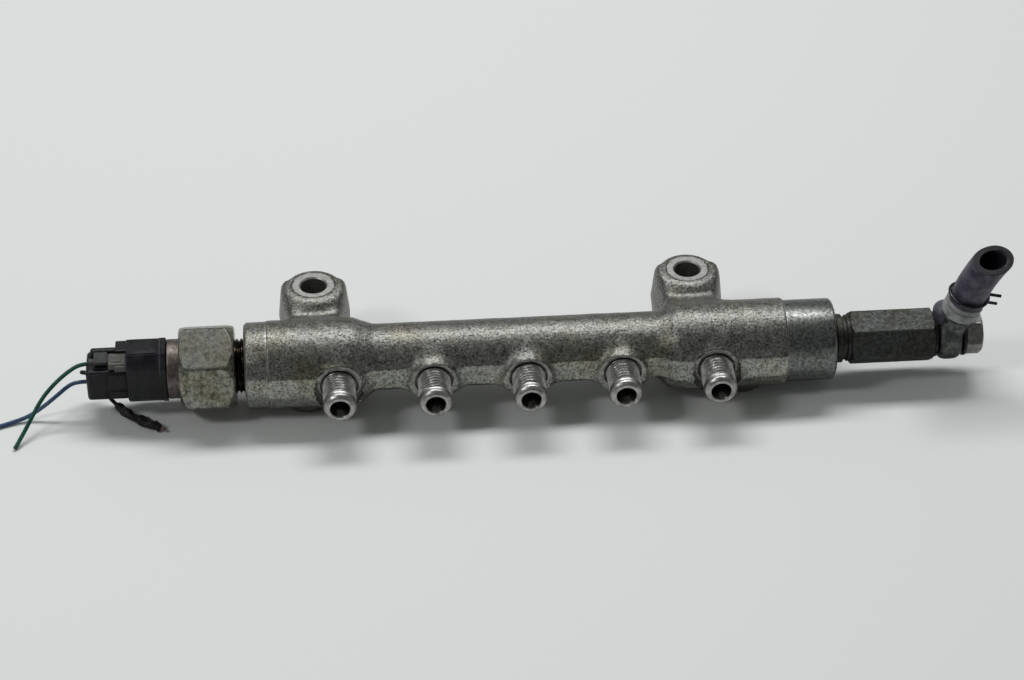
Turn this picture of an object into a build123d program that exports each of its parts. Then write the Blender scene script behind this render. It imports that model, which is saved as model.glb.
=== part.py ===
from build123d import *
from math import cos, pi, radians, sin, tan
import os

# Common-rail fuel rail with its pressure sensor, pressure limiter and return hose stub.
# Millimetres. The rail's axis is X and the five outlet nipples point along -Y.
# The ears' bolt holes run along Z. The origin is where the middle nipple's axis meets the rail's axis.

# ---- fits and clearances
press_gap = 0.01          # radial gap of a pressed or swaged piece
running_gap = 0.05        # radial gap of a guided or screwed piece
loose_gap = 0.15          # radial gap of moulded pieces and washers
deep = 0.5                # how far one solid reaches into the next before they are fused

# ---- rail forging
rail_left_x = -101.5
rail_right_x = 112.1
tube_r = 13.0
flare_r = 16.0
flare_left_x = -63.7      # inner end of the thick stretch on the left
flare_right_x = 56.0      # inner end of the thick stretch on the right
flare_taper = 9.8
left_band_r = 15.45       # turned bands at the two ends
left_band_length = 8.0
right_band_r = 14.9
right_band_length = 18.0
band_chamfer = 1.0
main_bore_r = 5.0
land_height = 6.0         # trimmed flash along the forging's parting plane
land_step = 0.6
skin_fillet = 2.5

# ---- outlet nipples, M12 x 1.5 with a 60 degree seat
nipple_count = 5
nipple_pitch = 34.0
nipple_reach = 28.1       # rail axis to the nipple's end face
nipple_thread_r = 6.0
nipple_neck_r = 5.2
nipple_neck_length = 2.8
nipple_nose_length = 3.0
nipple_nose_chamfer = 1.2
nipple_mouth_r = 3.75
nipple_orifice_r = 1.2
seat_half_angle = 30.0
boss_face_y = 14.4        # rail axis to the spot-faced boss end
boss_r = 8.4
boss_draft = 8.0
boss_corner = 9.2         # half width of the boss where the flash meets it
boss_recess_r = 7.2
boss_recess_depth = 1.6

# ---- mounting ears
ear_left_x = -75.9
ear_right_x = 62.4
ear_back_y = 30.1
ear_height = 12.4         # rail axis to the machined face
ear_mid_r = 11.6
ear_top_r = 10.8
ear_edge = 2.2
ear_hole_r = 4.75
ear_hole_chamfer = 0.5
neck_width = 22.2
neck_drop = 1.6           # how far the neck's top lies under the ear's face
draft_angle = 9.0

# ---- datum feet under the flares
foot_x = 79.0
foot_drop = 17.4          # rail axis to the foot's face
foot_r = 8.0
foot_draft = 12.0
foot_edge = 1.0

# ---- pressure sensor
sensor_thread_r = 10.0
sensor_thread_inside = 13.5
sensor_thread_outside = 3.6
sensor_hex_across = 29.0
sensor_hex_length = 19.6
sensor_hex_chamfer = 2.2
sensor_hex_turn = 34.5    # where an edge of the hexagon stands, degrees up from -Y
sensor_port_r = 1.5
sensor_seal_thickness = 1.5
sensor_seal_r = 8.0
sensor_seal_hole_r = 4.5
chamber_r = 8.5
circuit_seat_r = 9.5
collar_r = 10.75
collar_wall = 1.0
collar_length = 6.1
collar_socket_depth = 1.5
circuit_thickness = 1.2
circuit_depth = 4.8       # hexagon's end to the circuit board's outer face
chamber_depth = 10.0
membrane_r = 4.0
membrane_port_r = 2.5
membrane_height = 3.0
membrane_top = 0.6

# ---- sensor's moulded connector and the plug on it
shroud_width = 12.6       # across Y
shroud_height = 16.0      # along Z
shroud_wall = 1.3
shroud_corner = 3.0
shroud_gap = 0.3          # shroud's end to the hood's end wall
pin_pitch = 4.0
pin_width = 1.6
pin_thickness = 0.8
pin_reach = 9.0
hood_width = 17.5
hood_height = 21.0
hood_corner = 4.5
hood_length = 14.2
hood_wall_end = 2.2
plug_gap = 0.2            # hood's rim to the collar's end
core_gap = 1.0            # plug's core to the floor of the shroud
rear_width = 13.5
rear_top = 6.6
rear_bottom = 8.0
rear_length = 14.6
rear_corner = 1.0
seal_r = 1.75
seal_depth = 5.0
socket_size = 2.6
socket_wall = 0.35
socket_length = 9.0
crimp_r = 1.1
latch_width = 5.2
latch_thickness = 1.2
latch_lift = 1.0
rail_width = 2.0          # guard rails beside the latch
guard_height = 1.8
ring_seal_length = 2.0
ring_seal_wall = 1.3
retainer_length = 4.0

# ---- pressure limiter
limiter_thread_r = 9.0
limiter_thread_inside = 13.0
limiter_neck_r = 8.3
limiter_neck_length = 6.1
limiter_hex_across = 18.0
limiter_hex_length = 30.9
limiter_hex_chamfer = 0.9
limiter_hex_turn = 46.5
limiter_bore_r = 4.5
limiter_seal_thickness = 1.5
limiter_seal_r = 7.4
limiter_seal_hole_r = 3.6
limiter_wall_end = 1.5    # wall between the spring space and the banjo bolt's thread
limiter_return_r = 2.5
valve_seat_length = 7.0
valve_seat_inset = 0.8
valve_orifice_r = 0.9
valve_cone_depth = 1.4
valve_gap = 0.07
piston_gap = 1.5          # valve seat's face to the piston's skirt
piston_length = 10.0
piston_flat = 3.7
spring_wire_r = 0.55
spring_outer_r = 3.9
spring_turns = 7
shim_thickness = 1.2

# ---- banjo connection and return hose
banjo_thread_r = 5.0
banjo_thread_inside = 9.0
banjo_tip_chamfer = 0.8
banjo_thread_spare = 1.0  # room under the bolt's tip
banjo_washer_thickness = 1.2
banjo_washer_r = 8.3
banjo_ring_r = 9.4
banjo_ring_width = 9.5
banjo_ring_edge = 1.8     # rounding of the ring's rims
banjo_groove_r = 6.6
banjo_groove_width = 5.0
banjo_head_across = 14.0
banjo_head_length = 6.1
banjo_head_turn = 60.0
banjo_head_chamfer = 1.0
banjo_head_back_chamfer = 0.3
banjo_channel_r = 2.3
banjo_cross_r = 1.5
banjo_root_r = 6.2
banjo_root_reach = 11.6   # ring's axis to the end of the thick root
banjo_root_chamfer = 1.0
banjo_boss_r = 4.6        # rounded upright boss that the root leans out of
banjo_boss_height = 12.0
banjo_boss_edge = 2.0
stub_r = 4.0
stub_bore_r = 2.5
stub_reach = 22.5
barb_length = 2.5
hose_lean = 15.0          # lean of the stub towards +X, degrees
hose_forward = 9.8        # lean of the stub towards -Y, degrees
hose_end_lean = 24.6      # the same two leans at the hose's cut end
hose_end_forward = 15.3
hose_cut_lean = -8.7      # and of the oblique cut's normal
hose_cut_forward = 22.9
hose_r = 6.4
hose_bore_r = 4.05
hose_swell_r = 6.9
hose_swell_length = 5.4
hose_straight = 10.9
hose_length = 28.2        # along the centre line, from the root to the middle of the cut
clamp_wire_r = 0.6
clamp_pitch = 4.0
clamp_start = 6.5         # hose's lower end to the clamp's first coil
clamp_tang = 5.0
clamp_tang_r = 0.55       # flattened a little where the wire turns outwards

# ---- cut-off leads
wire_r = 0.75
tape_r = 1.7
copper_r = 0.55
copper_length = 3.0


def turned(*outline):
    """Solid of revolution about the rail's axis, from its (x, radius) outline."""
    return revolve(make_face(Plane.XZ * Polyline(*outline, close=True)), Axis.X)


def rod(x0, x1, radius):
    """Round bar along X from x0 to x1."""
    return Plane(origin=(x0, 0, 0), z_dir=(1, 0, 0)) * Cylinder(
        radius, x1 - x0, align=(Align.CENTER, Align.CENTER, Align.MIN))


def block(x0, x1, y0, y1, z0, z1):
    """Box between two corners."""
    return Pos((x0 + x1) / 2, (y0 + y1) / 2, (z0 + z1) / 2) * Box(x1 - x0, y1 - y0, z1 - z0)


def section(x0, x1, width, height, corner):
    """Bar along X with a rounded rectangular section, width across Y and height along Z."""
    plane = Plane(origin=(x0, 0, 0), x_dir=(0, 1, 0), z_dir=(1, 0, 0))
    return extrude(plane * RectangleRounded(width, height, corner), x1 - x0)


def hexagon(x0, x1, across, turn, chamfer_left, chamfer_right):
    """Hexagonal bar along X with its corners turned off at both ends."""
    direction = (0, -cos(radians(turn)), sin(radians(turn)))
    plane = Plane(origin=(x0, 0, 0), x_dir=direction, z_dir=(1, 0, 0))
    bar = extrude(plane * RegularPolygon(across / 2, 6, major_radius=False), x1 - x0)
    face_r = across / 2 * 0.97
    corner_r = across / 2 / cos(pi / 6) + 0.2
    envelope = turned((x0, 0), (x0, face_r), (x0 + chamfer_left, corner_r),
                      (x1 - chamfer_right, corner_r), (x1, face_r), (x1, 0))
    return bar & envelope


def save(shape, node):
    """Writes one node's solids."""
    export_step(shape, "parts/" + node + ".step")


# ---- stations along the rail's axis, worked out from the sizes above
nipple_x = [(i - (nipple_count - 1) / 2) * nipple_pitch for i in range(nipple_count)]
left_band_end = rail_left_x + left_band_length
right_band_start = rail_right_x - right_band_length

left_port_floor = rail_left_x + sensor_thread_inside + sensor_seal_thickness
sensor_nose = rail_left_x + sensor_thread_inside
sensor_hex_right = rail_left_x - sensor_thread_outside
sensor_hex_left = sensor_hex_right - sensor_hex_length
collar_right = sensor_hex_left + collar_socket_depth
collar_left = collar_right - collar_length
circuit_left = sensor_hex_left + circuit_depth
circuit_right = circuit_left + circuit_thickness
chamber_floor = sensor_hex_left + chamber_depth
hood_right = collar_left - plug_gap
hood_left = hood_right - hood_length
hood_floor = hood_left + hood_wall_end
shroud_left = hood_floor + shroud_gap
rear_left = hood_left - rear_length

right_port_floor = rail_right_x - limiter_thread_inside - limiter_seal_thickness
limiter_nose = rail_right_x - limiter_thread_inside
limiter_hex_left = rail_right_x + limiter_neck_length
limiter_end = limiter_hex_left + limiter_hex_length
banjo_thread_floor = limiter_end - banjo_thread_inside - banjo_thread_spare
spring_floor = banjo_thread_floor - limiter_wall_end
valve_seat_left = limiter_nose + valve_seat_inset
valve_seat_right = valve_seat_left + valve_seat_length
piston_left = valve_seat_right + piston_gap
piston_right = piston_left + piston_length
shim_left = spring_floor - shim_thickness

ring_left = limiter_end + banjo_washer_thickness
ring_right = ring_left + banjo_ring_width
ring_x = (ring_left + ring_right) / 2
head_left = ring_right + banjo_washer_thickness
head_right = head_left + banjo_head_length


def forged_outline(extra):
    """Upper edge of the forging between its turned bands, extra mm outside the skin."""
    thick = flare_r + extra
    thin = tube_r + extra
    left_mid = flare_left_x + flare_taper / 2
    right_mid = flare_right_x - flare_taper / 2
    thin_left = (flare_left_x + flare_taper, thin)
    thin_right = (flare_right_x - flare_taper, thin)
    return [
        Line((left_band_end, 0), (left_band_end, thick)),
        Line((left_band_end, thick), (flare_left_x, thick)),
        Bezier((flare_left_x, thick), (left_mid, thick), (left_mid, thin), thin_left),
        Line(thin_left, thin_right),
        Bezier(thin_right, (right_mid, thin), (right_mid, thick), (flare_right_x, thick)),
        Line((flare_right_x, thick), (right_band_start, thick)),
        Line((right_band_start, thick), (right_band_start, 0)),
        Line((right_band_start, 0), (left_band_end, 0)),
    ]


def flash_land():
    """Trimmed flash in the parting plane: it follows the skin and scallops between the bosses."""
    half = make_face(forged_outline(land_step))
    first, last = nipple_x[0] - boss_corner, nipple_x[-1] + boss_corner
    valley = tube_r + land_step
    front = [Line((first, 0), (first, -boss_face_y))]
    for index, x in enumerate(nipple_x):
        front.append(Line((x - boss_corner, -boss_face_y), (x + boss_corner, -boss_face_y)))
        if index + 1 < nipple_count:
            after = nipple_x[index + 1]
            front.append(ThreePointArc((x + boss_corner, -boss_face_y), ((x + after) / 2, -valley),
                                       (after - boss_corner, -boss_face_y)))
    front.append(Line((last, -boss_face_y), (last, 0)))
    front.append(Line((last, 0), (first, 0)))
    outline = half + mirror(half, Plane.XZ) + make_face(front)
    return extrude(outline, land_height / 2, both=True)


def along_nipple(x, near, far, radius, end_radius=None):
    """Round bar or cone on a nipple's axis, between two distances from the rail's axis."""
    plane = Plane(origin=(x, -near, 0), z_dir=(0, -1, 0))
    align = (Align.CENTER, Align.CENTER, Align.MIN)
    if end_radius is None:
        return plane * Cylinder(radius, far - near, align=align)
    return plane * Cone(radius, end_radius, far - near, align=align)


def nipple_blank(x):
    """Solid nipple from inside the boss to its end face, turned about its own axis."""
    root = boss_face_y - boss_recess_depth - 3.0
    thread_start = boss_face_y - boss_recess_depth + nipple_neck_length
    nose_start = nipple_reach - nipple_nose_length
    nose_r = nipple_thread_r - 0.1
    end_r = nipple_mouth_r + 1.05
    outline = Polyline(
        (0, -root), (nipple_neck_r, -root), (nipple_neck_r, -thread_start),
        (nipple_thread_r, -thread_start - (nipple_thread_r - nipple_neck_r)),
        (nipple_thread_r, -nose_start), (nose_r, -nose_start - 0.1),
        (nose_r, -nipple_reach + nipple_nose_chamfer), (end_r, -nipple_reach), (0, -nipple_reach),
        close=True)
    return Pos(x, 0, 0) * revolve(make_face(outline), Axis.Y)


def nipple_drilling(x):
    """Conical seat and the drilling that joins it to the main bore."""
    seat_depth = (nipple_mouth_r - nipple_orifice_r) / tan(radians(seat_half_angle))
    seat = along_nipple(x, nipple_reach - seat_depth, nipple_reach, nipple_orifice_r, nipple_mouth_r)
    return seat + along_nipple(x, 0, nipple_reach - seat_depth, nipple_orifice_r)


def ear_blank(x):
    """Ear with draft both ways from the parting plane, and its neck to the rail."""
    half = Pos(x, ear_back_y, 0) * Cone(ear_mid_r, ear_top_r, ear_height,
                                        align=(Align.CENTER, Align.CENTER, Align.MIN))
    half = fillet(half.edges().group_by(Axis.Z)[-1], ear_edge)
    top = ear_height - neck_drop
    wide = neck_width / 2
    narrow = wide - top * tan(radians(draft_angle))
    outline = Polyline((wide, 0), (narrow, top), (-narrow, top), (-wide, 0), (-narrow, -top), (narrow, -top),
                       close=True)
    profile = make_face(outline)
    profile = fillet(profile.vertices().filter_by(lambda corner: abs(corner.Y) > 1), skin_fillet)
    neck = extrude(Plane.XZ * profile, -ear_back_y)
    return half + mirror(half, Plane.XY) + Pos(x, 0, 0) * neck


def foot_blank(x):
    """Round datum foot with draft, its face under the flare."""
    height = foot_drop - flare_r / 2
    base_r = foot_r + height * tan(radians(foot_draft))
    foot = Pos(x, 0, -foot_drop) * Cone(foot_r, base_r, height, align=(Align.CENTER, Align.CENTER, Align.MIN))
    return fillet(foot.edges().group_by(Axis.Z)[0], foot_edge)


def make_rail_body():
    """The forging with its machined ends, nipples, ports, drillings and bolt holes."""
    body = revolve(Plane.XZ * make_face(forged_outline(0)), Axis.X)
    body += flash_land()
    for x in nipple_x:
        base_r = boss_r + (boss_face_y - tube_r / 2) * tan(radians(boss_draft))
        body += along_nipple(x, tube_r / 2, boss_face_y, base_r, boss_r)
    for x in (ear_left_x, ear_right_x):
        body += ear_blank(x)
    for x in (-foot_x, foot_x):
        body += foot_blank(x)
    body += turned((rail_left_x, 0), (rail_left_x, left_band_r - band_chamfer),
                   (rail_left_x + band_chamfer, left_band_r), (left_band_end + deep, left_band_r),
                   (left_band_end + deep, 0))
    body += turned((right_band_start - deep, 0), (right_band_start - deep, right_band_r),
                   (rail_right_x - band_chamfer, right_band_r),
                   (rail_right_x, right_band_r - band_chamfer), (rail_right_x, 0))
    for x in nipple_x:
        body -= along_nipple(x, boss_face_y, boss_face_y + flare_r, boss_corner)
        body -= along_nipple(x, boss_face_y - boss_recess_depth, boss_face_y, boss_recess_r)
        body += nipple_blank(x)
    for x in (ear_left_x, ear_right_x):
        body -= Pos(x, ear_back_y, 0) * Cylinder(ear_hole_r, 3 * ear_height)
        for side in (1, -1):
            flank = Cone(ear_hole_r, ear_hole_r + ear_hole_chamfer, ear_hole_chamfer,
                         align=(Align.CENTER, Align.CENTER, Align.MAX))
            if side < 0:
                flank = Rot(180, 0, 0) * flank
            body -= Pos(x, ear_back_y, side * ear_height) * flank
    left_port = turned((rail_left_x - deep, 0), (rail_left_x - deep, sensor_thread_r + running_gap),
                       (left_port_floor, sensor_thread_r + running_gap), (left_port_floor, 0))
    right_port = turned((right_port_floor, 0), (right_port_floor, limiter_thread_r + running_gap),
                        (rail_right_x + deep, limiter_thread_r + running_gap), (rail_right_x + deep, 0))
    body = body - left_port - right_port - rod(left_port_floor - deep, right_port_floor + deep, main_bore_r)
    for x in nipple_x:
        body -= nipple_drilling(x)
    return body


def make_sensor():
    """Sensor housing, its seal, membrane, circuit board, collar, connector and pins."""
    shank = turned((sensor_hex_right - deep, 0), (sensor_hex_right - deep, sensor_thread_r),
                   (sensor_nose - 1, sensor_thread_r), (sensor_nose, sensor_thread_r - 1),
                   (sensor_nose, 0))
    housing = hexagon(sensor_hex_left, sensor_hex_right, sensor_hex_across, sensor_hex_turn,
                      sensor_hex_chamfer, sensor_hex_chamfer) + shank
    housing -= rod(sensor_hex_left - 1, collar_right, collar_r + press_gap)
    housing -= rod(collar_right - deep, circuit_right, circuit_seat_r + loose_gap)
    housing -= rod(circuit_right - deep, chamber_floor, chamber_r)
    housing -= rod(chamber_floor - deep, sensor_nose + 1, sensor_port_r)
    save(housing, "sensor_body")
    seal = rod(sensor_nose, left_port_floor, sensor_seal_r) - rod(sensor_nose - 1, left_port_floor + 1,
                                                                  sensor_seal_hole_r)
    save(seal, "sensor_seal")
    membrane = rod(chamber_floor - membrane_height, chamber_floor, membrane_r)
    membrane -= rod(chamber_floor - membrane_height + membrane_top, chamber_floor + 1, membrane_port_r)
    save(membrane, "sensor_membrane")
    circuit = rod(circuit_left, circuit_right, circuit_seat_r)
    save(circuit, "sensor_circuit")
    collar_inner = collar_r - collar_wall
    collar = rod(collar_left, collar_right, collar_r) - rod(collar_left - 1, collar_right + 1, collar_inner)
    save(collar, "sensor_collar")
    base = rod(collar_left, collar_right, collar_inner - press_gap)
    base += rod(collar_right - deep, circuit_left, circuit_seat_r)
    base -= rod(collar_right, circuit_left + 1, circuit_seat_r - 1.5)
    shroud = section(shroud_left, collar_left + deep, shroud_width, shroud_height, shroud_corner)
    inner_corner = shroud_corner - shroud_wall
    shroud -= section(shroud_left - 1, collar_left, shroud_width - 2 * shroud_wall,
                      shroud_height - 2 * shroud_wall, inner_corner)
    connector = base + shroud
    pins = []
    for row in (-1, 0, 1):
        z = row * pin_pitch
        half_width, half_thickness = pin_width / 2, pin_thickness / 2
        pins.append(block(collar_left - pin_reach, circuit_left, -half_width, half_width,
                          z - half_thickness, z + half_thickness))
        connector -= block(collar_left - pin_reach, circuit_left + 1, -half_width - press_gap,
                           half_width + press_gap, z - half_thickness - press_gap,
                           z + half_thickness + press_gap)
    save(connector, "sensor_connector")
    save(Compound(pins), "sensor_pins")


def make_plug():
    """Plug housing with its latch, ring seal, sockets, wire seals and retainer."""
    clear = loose_gap
    housing = section(hood_left, hood_right, hood_width, hood_height, hood_corner)
    housing -= section(hood_floor, hood_right + 1, shroud_width + 2 * clear, shroud_height + 2 * clear,
                       shroud_corner)
    housing -= section(hood_right - ring_seal_length - press_gap, hood_right + 1,
                       shroud_width + 2 * ring_seal_wall, shroud_height + 2 * ring_seal_wall,
                       shroud_corner + ring_seal_wall)
    rear = block(rear_left, hood_left + deep, -rear_width / 2, rear_width / 2, -rear_bottom, rear_top)
    rear = fillet(rear.edges().filter_by(Axis.X), rear_corner)
    housing += rear
    core_right = collar_left - core_gap
    core_width = shroud_width - 2 * shroud_wall - 2 * clear
    core_height = shroud_height - 2 * shroud_wall - 2 * clear
    housing += section(hood_floor - deep, core_right, core_width, core_height,
                       shroud_corner - shroud_wall)
    socket_left = core_right - 0.8 - socket_length
    seal_right = rear_left + 1.0 + seal_depth
    half_socket = socket_size / 2
    sockets, seals = [], []
    for row in (-1, 0, 1):
        z = row * pin_pitch
        shift = Pos(0, 0, z)
        housing -= block(socket_left, core_right - 0.8, -half_socket - clear, half_socket + clear,
                         z - half_socket - clear, z + half_socket + clear)
        housing -= block(core_right - 0.9, core_right + 1, -pin_width / 2 - clear, pin_width / 2 + clear,
                         z - pin_thickness / 2 - clear, z + pin_thickness / 2 + clear)
        housing -= shift * rod(seal_right - deep, socket_left + deep, crimp_r + 0.25)
        housing -= shift * rod(rear_left - 1, seal_right, seal_r + press_gap)
        socket = block(socket_left, socket_left + socket_length, -half_socket, half_socket,
                       z - half_socket, z + half_socket)
        half_slot = pin_thickness / 2 + running_gap
        socket -= block(socket_left + 0.6, socket_left + socket_length + 1,
                        -half_socket + socket_wall, half_socket - socket_wall, z - half_slot, z + half_slot)
        socket += shift * rod(seal_right, socket_left + 0.3, crimp_r)
        sockets.append(socket)
        seals.append(shift * rod(rear_left + 1.0, seal_right, seal_r))
    # latch arm between two guard rails on top of the rear block
    latch_y = -0.7
    root_left = hood_left - 3.4
    arm_bottom = rear_top + latch_lift
    arm_top = arm_bottom + latch_thickness
    half_latch = latch_width / 2
    housing += block(root_left, hood_left + deep, latch_y - half_latch, latch_y + half_latch + 3.6,
                     rear_top - deep, arm_top + 1.6)
    housing += block(rear_left + 2.0, root_left + deep, latch_y - half_latch, latch_y + half_latch,
                     arm_bottom, arm_top)
    back_rail = latch_y + half_latch + 0.6
    housing += block(rear_left + 0.4, hood_left + deep, back_rail, back_rail + rail_width,
                     rear_top - deep, rear_top + guard_height)
    retainer = block(root_left - 2.0 - retainer_length, root_left - 2.0, -rear_width / 2,
                     latch_y - half_latch - 0.3, rear_top, rear_top + 0.9)
    retainer += block(root_left - 1.2 - retainer_length, root_left - 2.8, -rear_width / 2 + 1.2,
                      -rear_width / 2 + 2.6, rear_top - 2.4, rear_top + deep)
    housing -= block(root_left - 1.2 - retainer_length - clear, root_left - 2.8 + clear,
                     -rear_width / 2 + 1.2 - clear, -rear_width / 2 + 2.6 + clear,
                     rear_top - 2.4 - clear, rear_top + 1)
    save(housing, "plug_housing")
    save(retainer, "plug_retainer")
    save(Compound(sockets), "plug_sockets")
    save(Compound(seals), "plug_wire_seals")
    ring_outer = 2 * ring_seal_wall - 2 * press_gap
    ring = section(hood_right - ring_seal_length, hood_right, shroud_width + ring_outer,
                   shroud_height + ring_outer, shroud_corner + ring_seal_wall)
    ring -= section(hood_right - ring_seal_length - 1, hood_right + 1, shroud_width + 2 * press_gap,
                    shroud_height + 2 * press_gap, shroud_corner)
    save(ring, "plug_ring_seal")


def make_limiter():
    """Limiter housing with its seal, valve seat, piston, spring and shim."""
    blank = hexagon(limiter_hex_left, limiter_end, limiter_hex_across, limiter_hex_turn,
                    limiter_hex_chamfer, limiter_hex_chamfer)
    blank += turned((limiter_nose, 0), (limiter_nose, limiter_thread_r - 1),
                    (limiter_nose + 1, limiter_thread_r), (rail_right_x - 1.2, limiter_thread_r),
                    (rail_right_x - 0.8, limiter_neck_r), (limiter_hex_left + deep, limiter_neck_r),
                    (limiter_hex_left + deep, 0))
    blank -= rod(limiter_nose - 1, spring_floor, limiter_bore_r)
    blank -= rod(spring_floor - deep, banjo_thread_floor + deep, limiter_return_r)
    blank -= rod(banjo_thread_floor, limiter_end + 1, banjo_thread_r + running_gap)
    save(blank, "limiter_body")
    seal = rod(right_port_floor, limiter_nose, limiter_seal_r)
    seal -= rod(right_port_floor - 1, limiter_nose + 1, limiter_seal_hole_r)
    save(seal, "limiter_seal")
    cone_left = valve_seat_right - valve_cone_depth
    cone_r = valve_orifice_r + valve_cone_depth
    seat = turned((valve_seat_left, valve_orifice_r), (valve_seat_left, limiter_bore_r - press_gap),
                  (valve_seat_right, limiter_bore_r - press_gap), (valve_seat_right, cone_r),
                  (cone_left, valve_orifice_r))
    save(seat, "valve_seat")
    tip_left = cone_left + 0.4
    guide_r = limiter_bore_r - running_gap
    piston = turned((tip_left, 0), (tip_left, valve_orifice_r + 0.4 - valve_gap),
                    (valve_seat_right, cone_r - valve_gap), (piston_left, cone_r - valve_gap),
                    (piston_left, guide_r), (piston_right, guide_r), (piston_right, 0))
    for angle in (0, 90, 180, 270):
        piston -= Rot(angle, 0, 0) * block(piston_left - 1, piston_right + 1, -guide_r, guide_r,
                                           piston_flat, guide_r + 1)
    save(piston, "relief_piston")
    coil_length = shim_left - piston_right - 2 * spring_wire_r
    coil_r = spring_outer_r - spring_wire_r
    plane = Plane(origin=(piston_right + spring_wire_r, 0, 0), z_dir=(1, 0, 0))
    path = plane * Helix(coil_length / spring_turns, coil_length, coil_r)
    start = path @ 0
    wire_plane = Plane(origin=start, z_dir=path % 0)
    spring = sweep(wire_plane * Circle(spring_wire_r), path=path, is_frenet=True)
    save(spring, "limiter_spring")
    shim = rod(shim_left, spring_floor, limiter_bore_r - loose_gap)
    shim -= rod(shim_left - 1, spring_floor + 1, limiter_return_r)
    save(shim, "spring_shim")


def leaning(lean, forward):
    """Upward direction that leans towards +X and towards -Y, both in degrees."""
    return Vector(sin(radians(lean)), -sin(radians(forward)), cos(radians(lean))).normalized()


stub_direction = leaning(hose_lean, hose_forward)


def along_stub(near, far, radius, end_radius=None):
    """Round bar or cone on the stub's axis, between two distances from the ring's axis."""
    origin = Vector(ring_x, 0, 0) + stub_direction * near
    plane = Plane(origin=origin, z_dir=stub_direction)
    align = (Align.CENTER, Align.CENTER, Align.MIN)
    if end_radius is None:
        return plane * Cylinder(radius, far - near, align=align)
    return plane * Cone(radius, end_radius, far - near, align=align)


def make_banjo():
    """Banjo bolt, its two washers and the ring with its hose stub."""
    for node, x0 in (("banjo_washer_inner", limiter_end), ("banjo_washer_outer", ring_right)):
        washer = rod(x0, x0 + banjo_washer_thickness, banjo_washer_r)
        washer -= rod(x0 - 1, x0 + banjo_washer_thickness + 1, banjo_thread_r + loose_gap)
        save(washer, node)
    bolt = hexagon(head_left, head_right, banjo_head_across, banjo_head_turn,
                   banjo_head_back_chamfer, banjo_head_chamfer)
    bolt += turned((limiter_end - banjo_thread_inside, 0),
                   (limiter_end - banjo_thread_inside, banjo_thread_r - banjo_tip_chamfer),
                   (limiter_end - banjo_thread_inside + banjo_tip_chamfer, banjo_thread_r),
                   (head_left + deep, banjo_thread_r), (head_left + deep, 0))
    bolt -= rod(limiter_end - banjo_thread_inside - 1, ring_x + 2 * banjo_cross_r, banjo_channel_r)
    bolt -= Pos(ring_x, 0, 0) * Cylinder(banjo_cross_r, 3 * banjo_thread_r)
    save(bolt, "banjo_bolt")
    ring = rod(ring_left, ring_right, banjo_ring_r)
    ring = fillet(ring.edges().filter_by(GeomType.CIRCLE), banjo_ring_edge)
    boss = Pos(ring_x, 0, 0) * Cylinder(banjo_boss_r, banjo_boss_height,
                                        align=(Align.CENTER, Align.CENTER, Align.MIN))
    ring += fillet(boss.edges().group_by(Axis.Z)[-1], banjo_boss_edge)
    root_shoulder = banjo_root_reach - banjo_root_chamfer
    ring += along_stub(0, root_shoulder, banjo_root_r)
    ring += along_stub(root_shoulder, banjo_root_reach, banjo_root_r, banjo_root_r - banjo_root_chamfer)
    ring += along_stub(0, stub_reach, stub_r - 0.3)
    for near in (stub_reach - barb_length, stub_reach - 2.6 * barb_length):
        ring += along_stub(near, near + barb_length, stub_r, stub_r - 0.5)
    ring = ring & block(ring_left, ring_right + stub_reach, -stub_reach, stub_reach, -banjo_ring_r,
                        2 * stub_reach)
    ring -= rod(ring_left - 1, ring_right + 1, banjo_thread_r + loose_gap)
    ring -= rod(ring_right, head_right + 1, banjo_washer_r + loose_gap)
    half_groove = banjo_groove_width / 2
    ring -= rod(ring_x - half_groove, ring_x + half_groove, banjo_groove_r)
    ring -= along_stub(banjo_thread_r, stub_reach + 1, stub_bore_r)
    save(ring, "banjo_fitting")


def hose_path(start):
    """Centre line of the hose: straight over the fitting, then a gentle bend, and the middle of its cut."""
    first = Vector(ring_x, 0, 0) + stub_direction * start
    second = first + stub_direction * hose_straight
    end_direction = leaning(hose_end_lean, hose_end_forward)
    turn = radians(stub_direction.get_angle(end_direction))
    bend_r = (hose_length - hose_straight) / turn
    side = (end_direction - stub_direction * stub_direction.dot(end_direction)).normalized()
    mid = second + stub_direction * (bend_r * sin(turn / 2)) + side * (bend_r * (1 - cos(turn / 2)))
    end = second + stub_direction * (bend_r * sin(turn)) + side * (bend_r * (1 - cos(turn)))
    path = Line(first, second) + ThreePointArc(second, mid, end) + Line(end, end + end_direction * hose_r)
    return path, end


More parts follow.
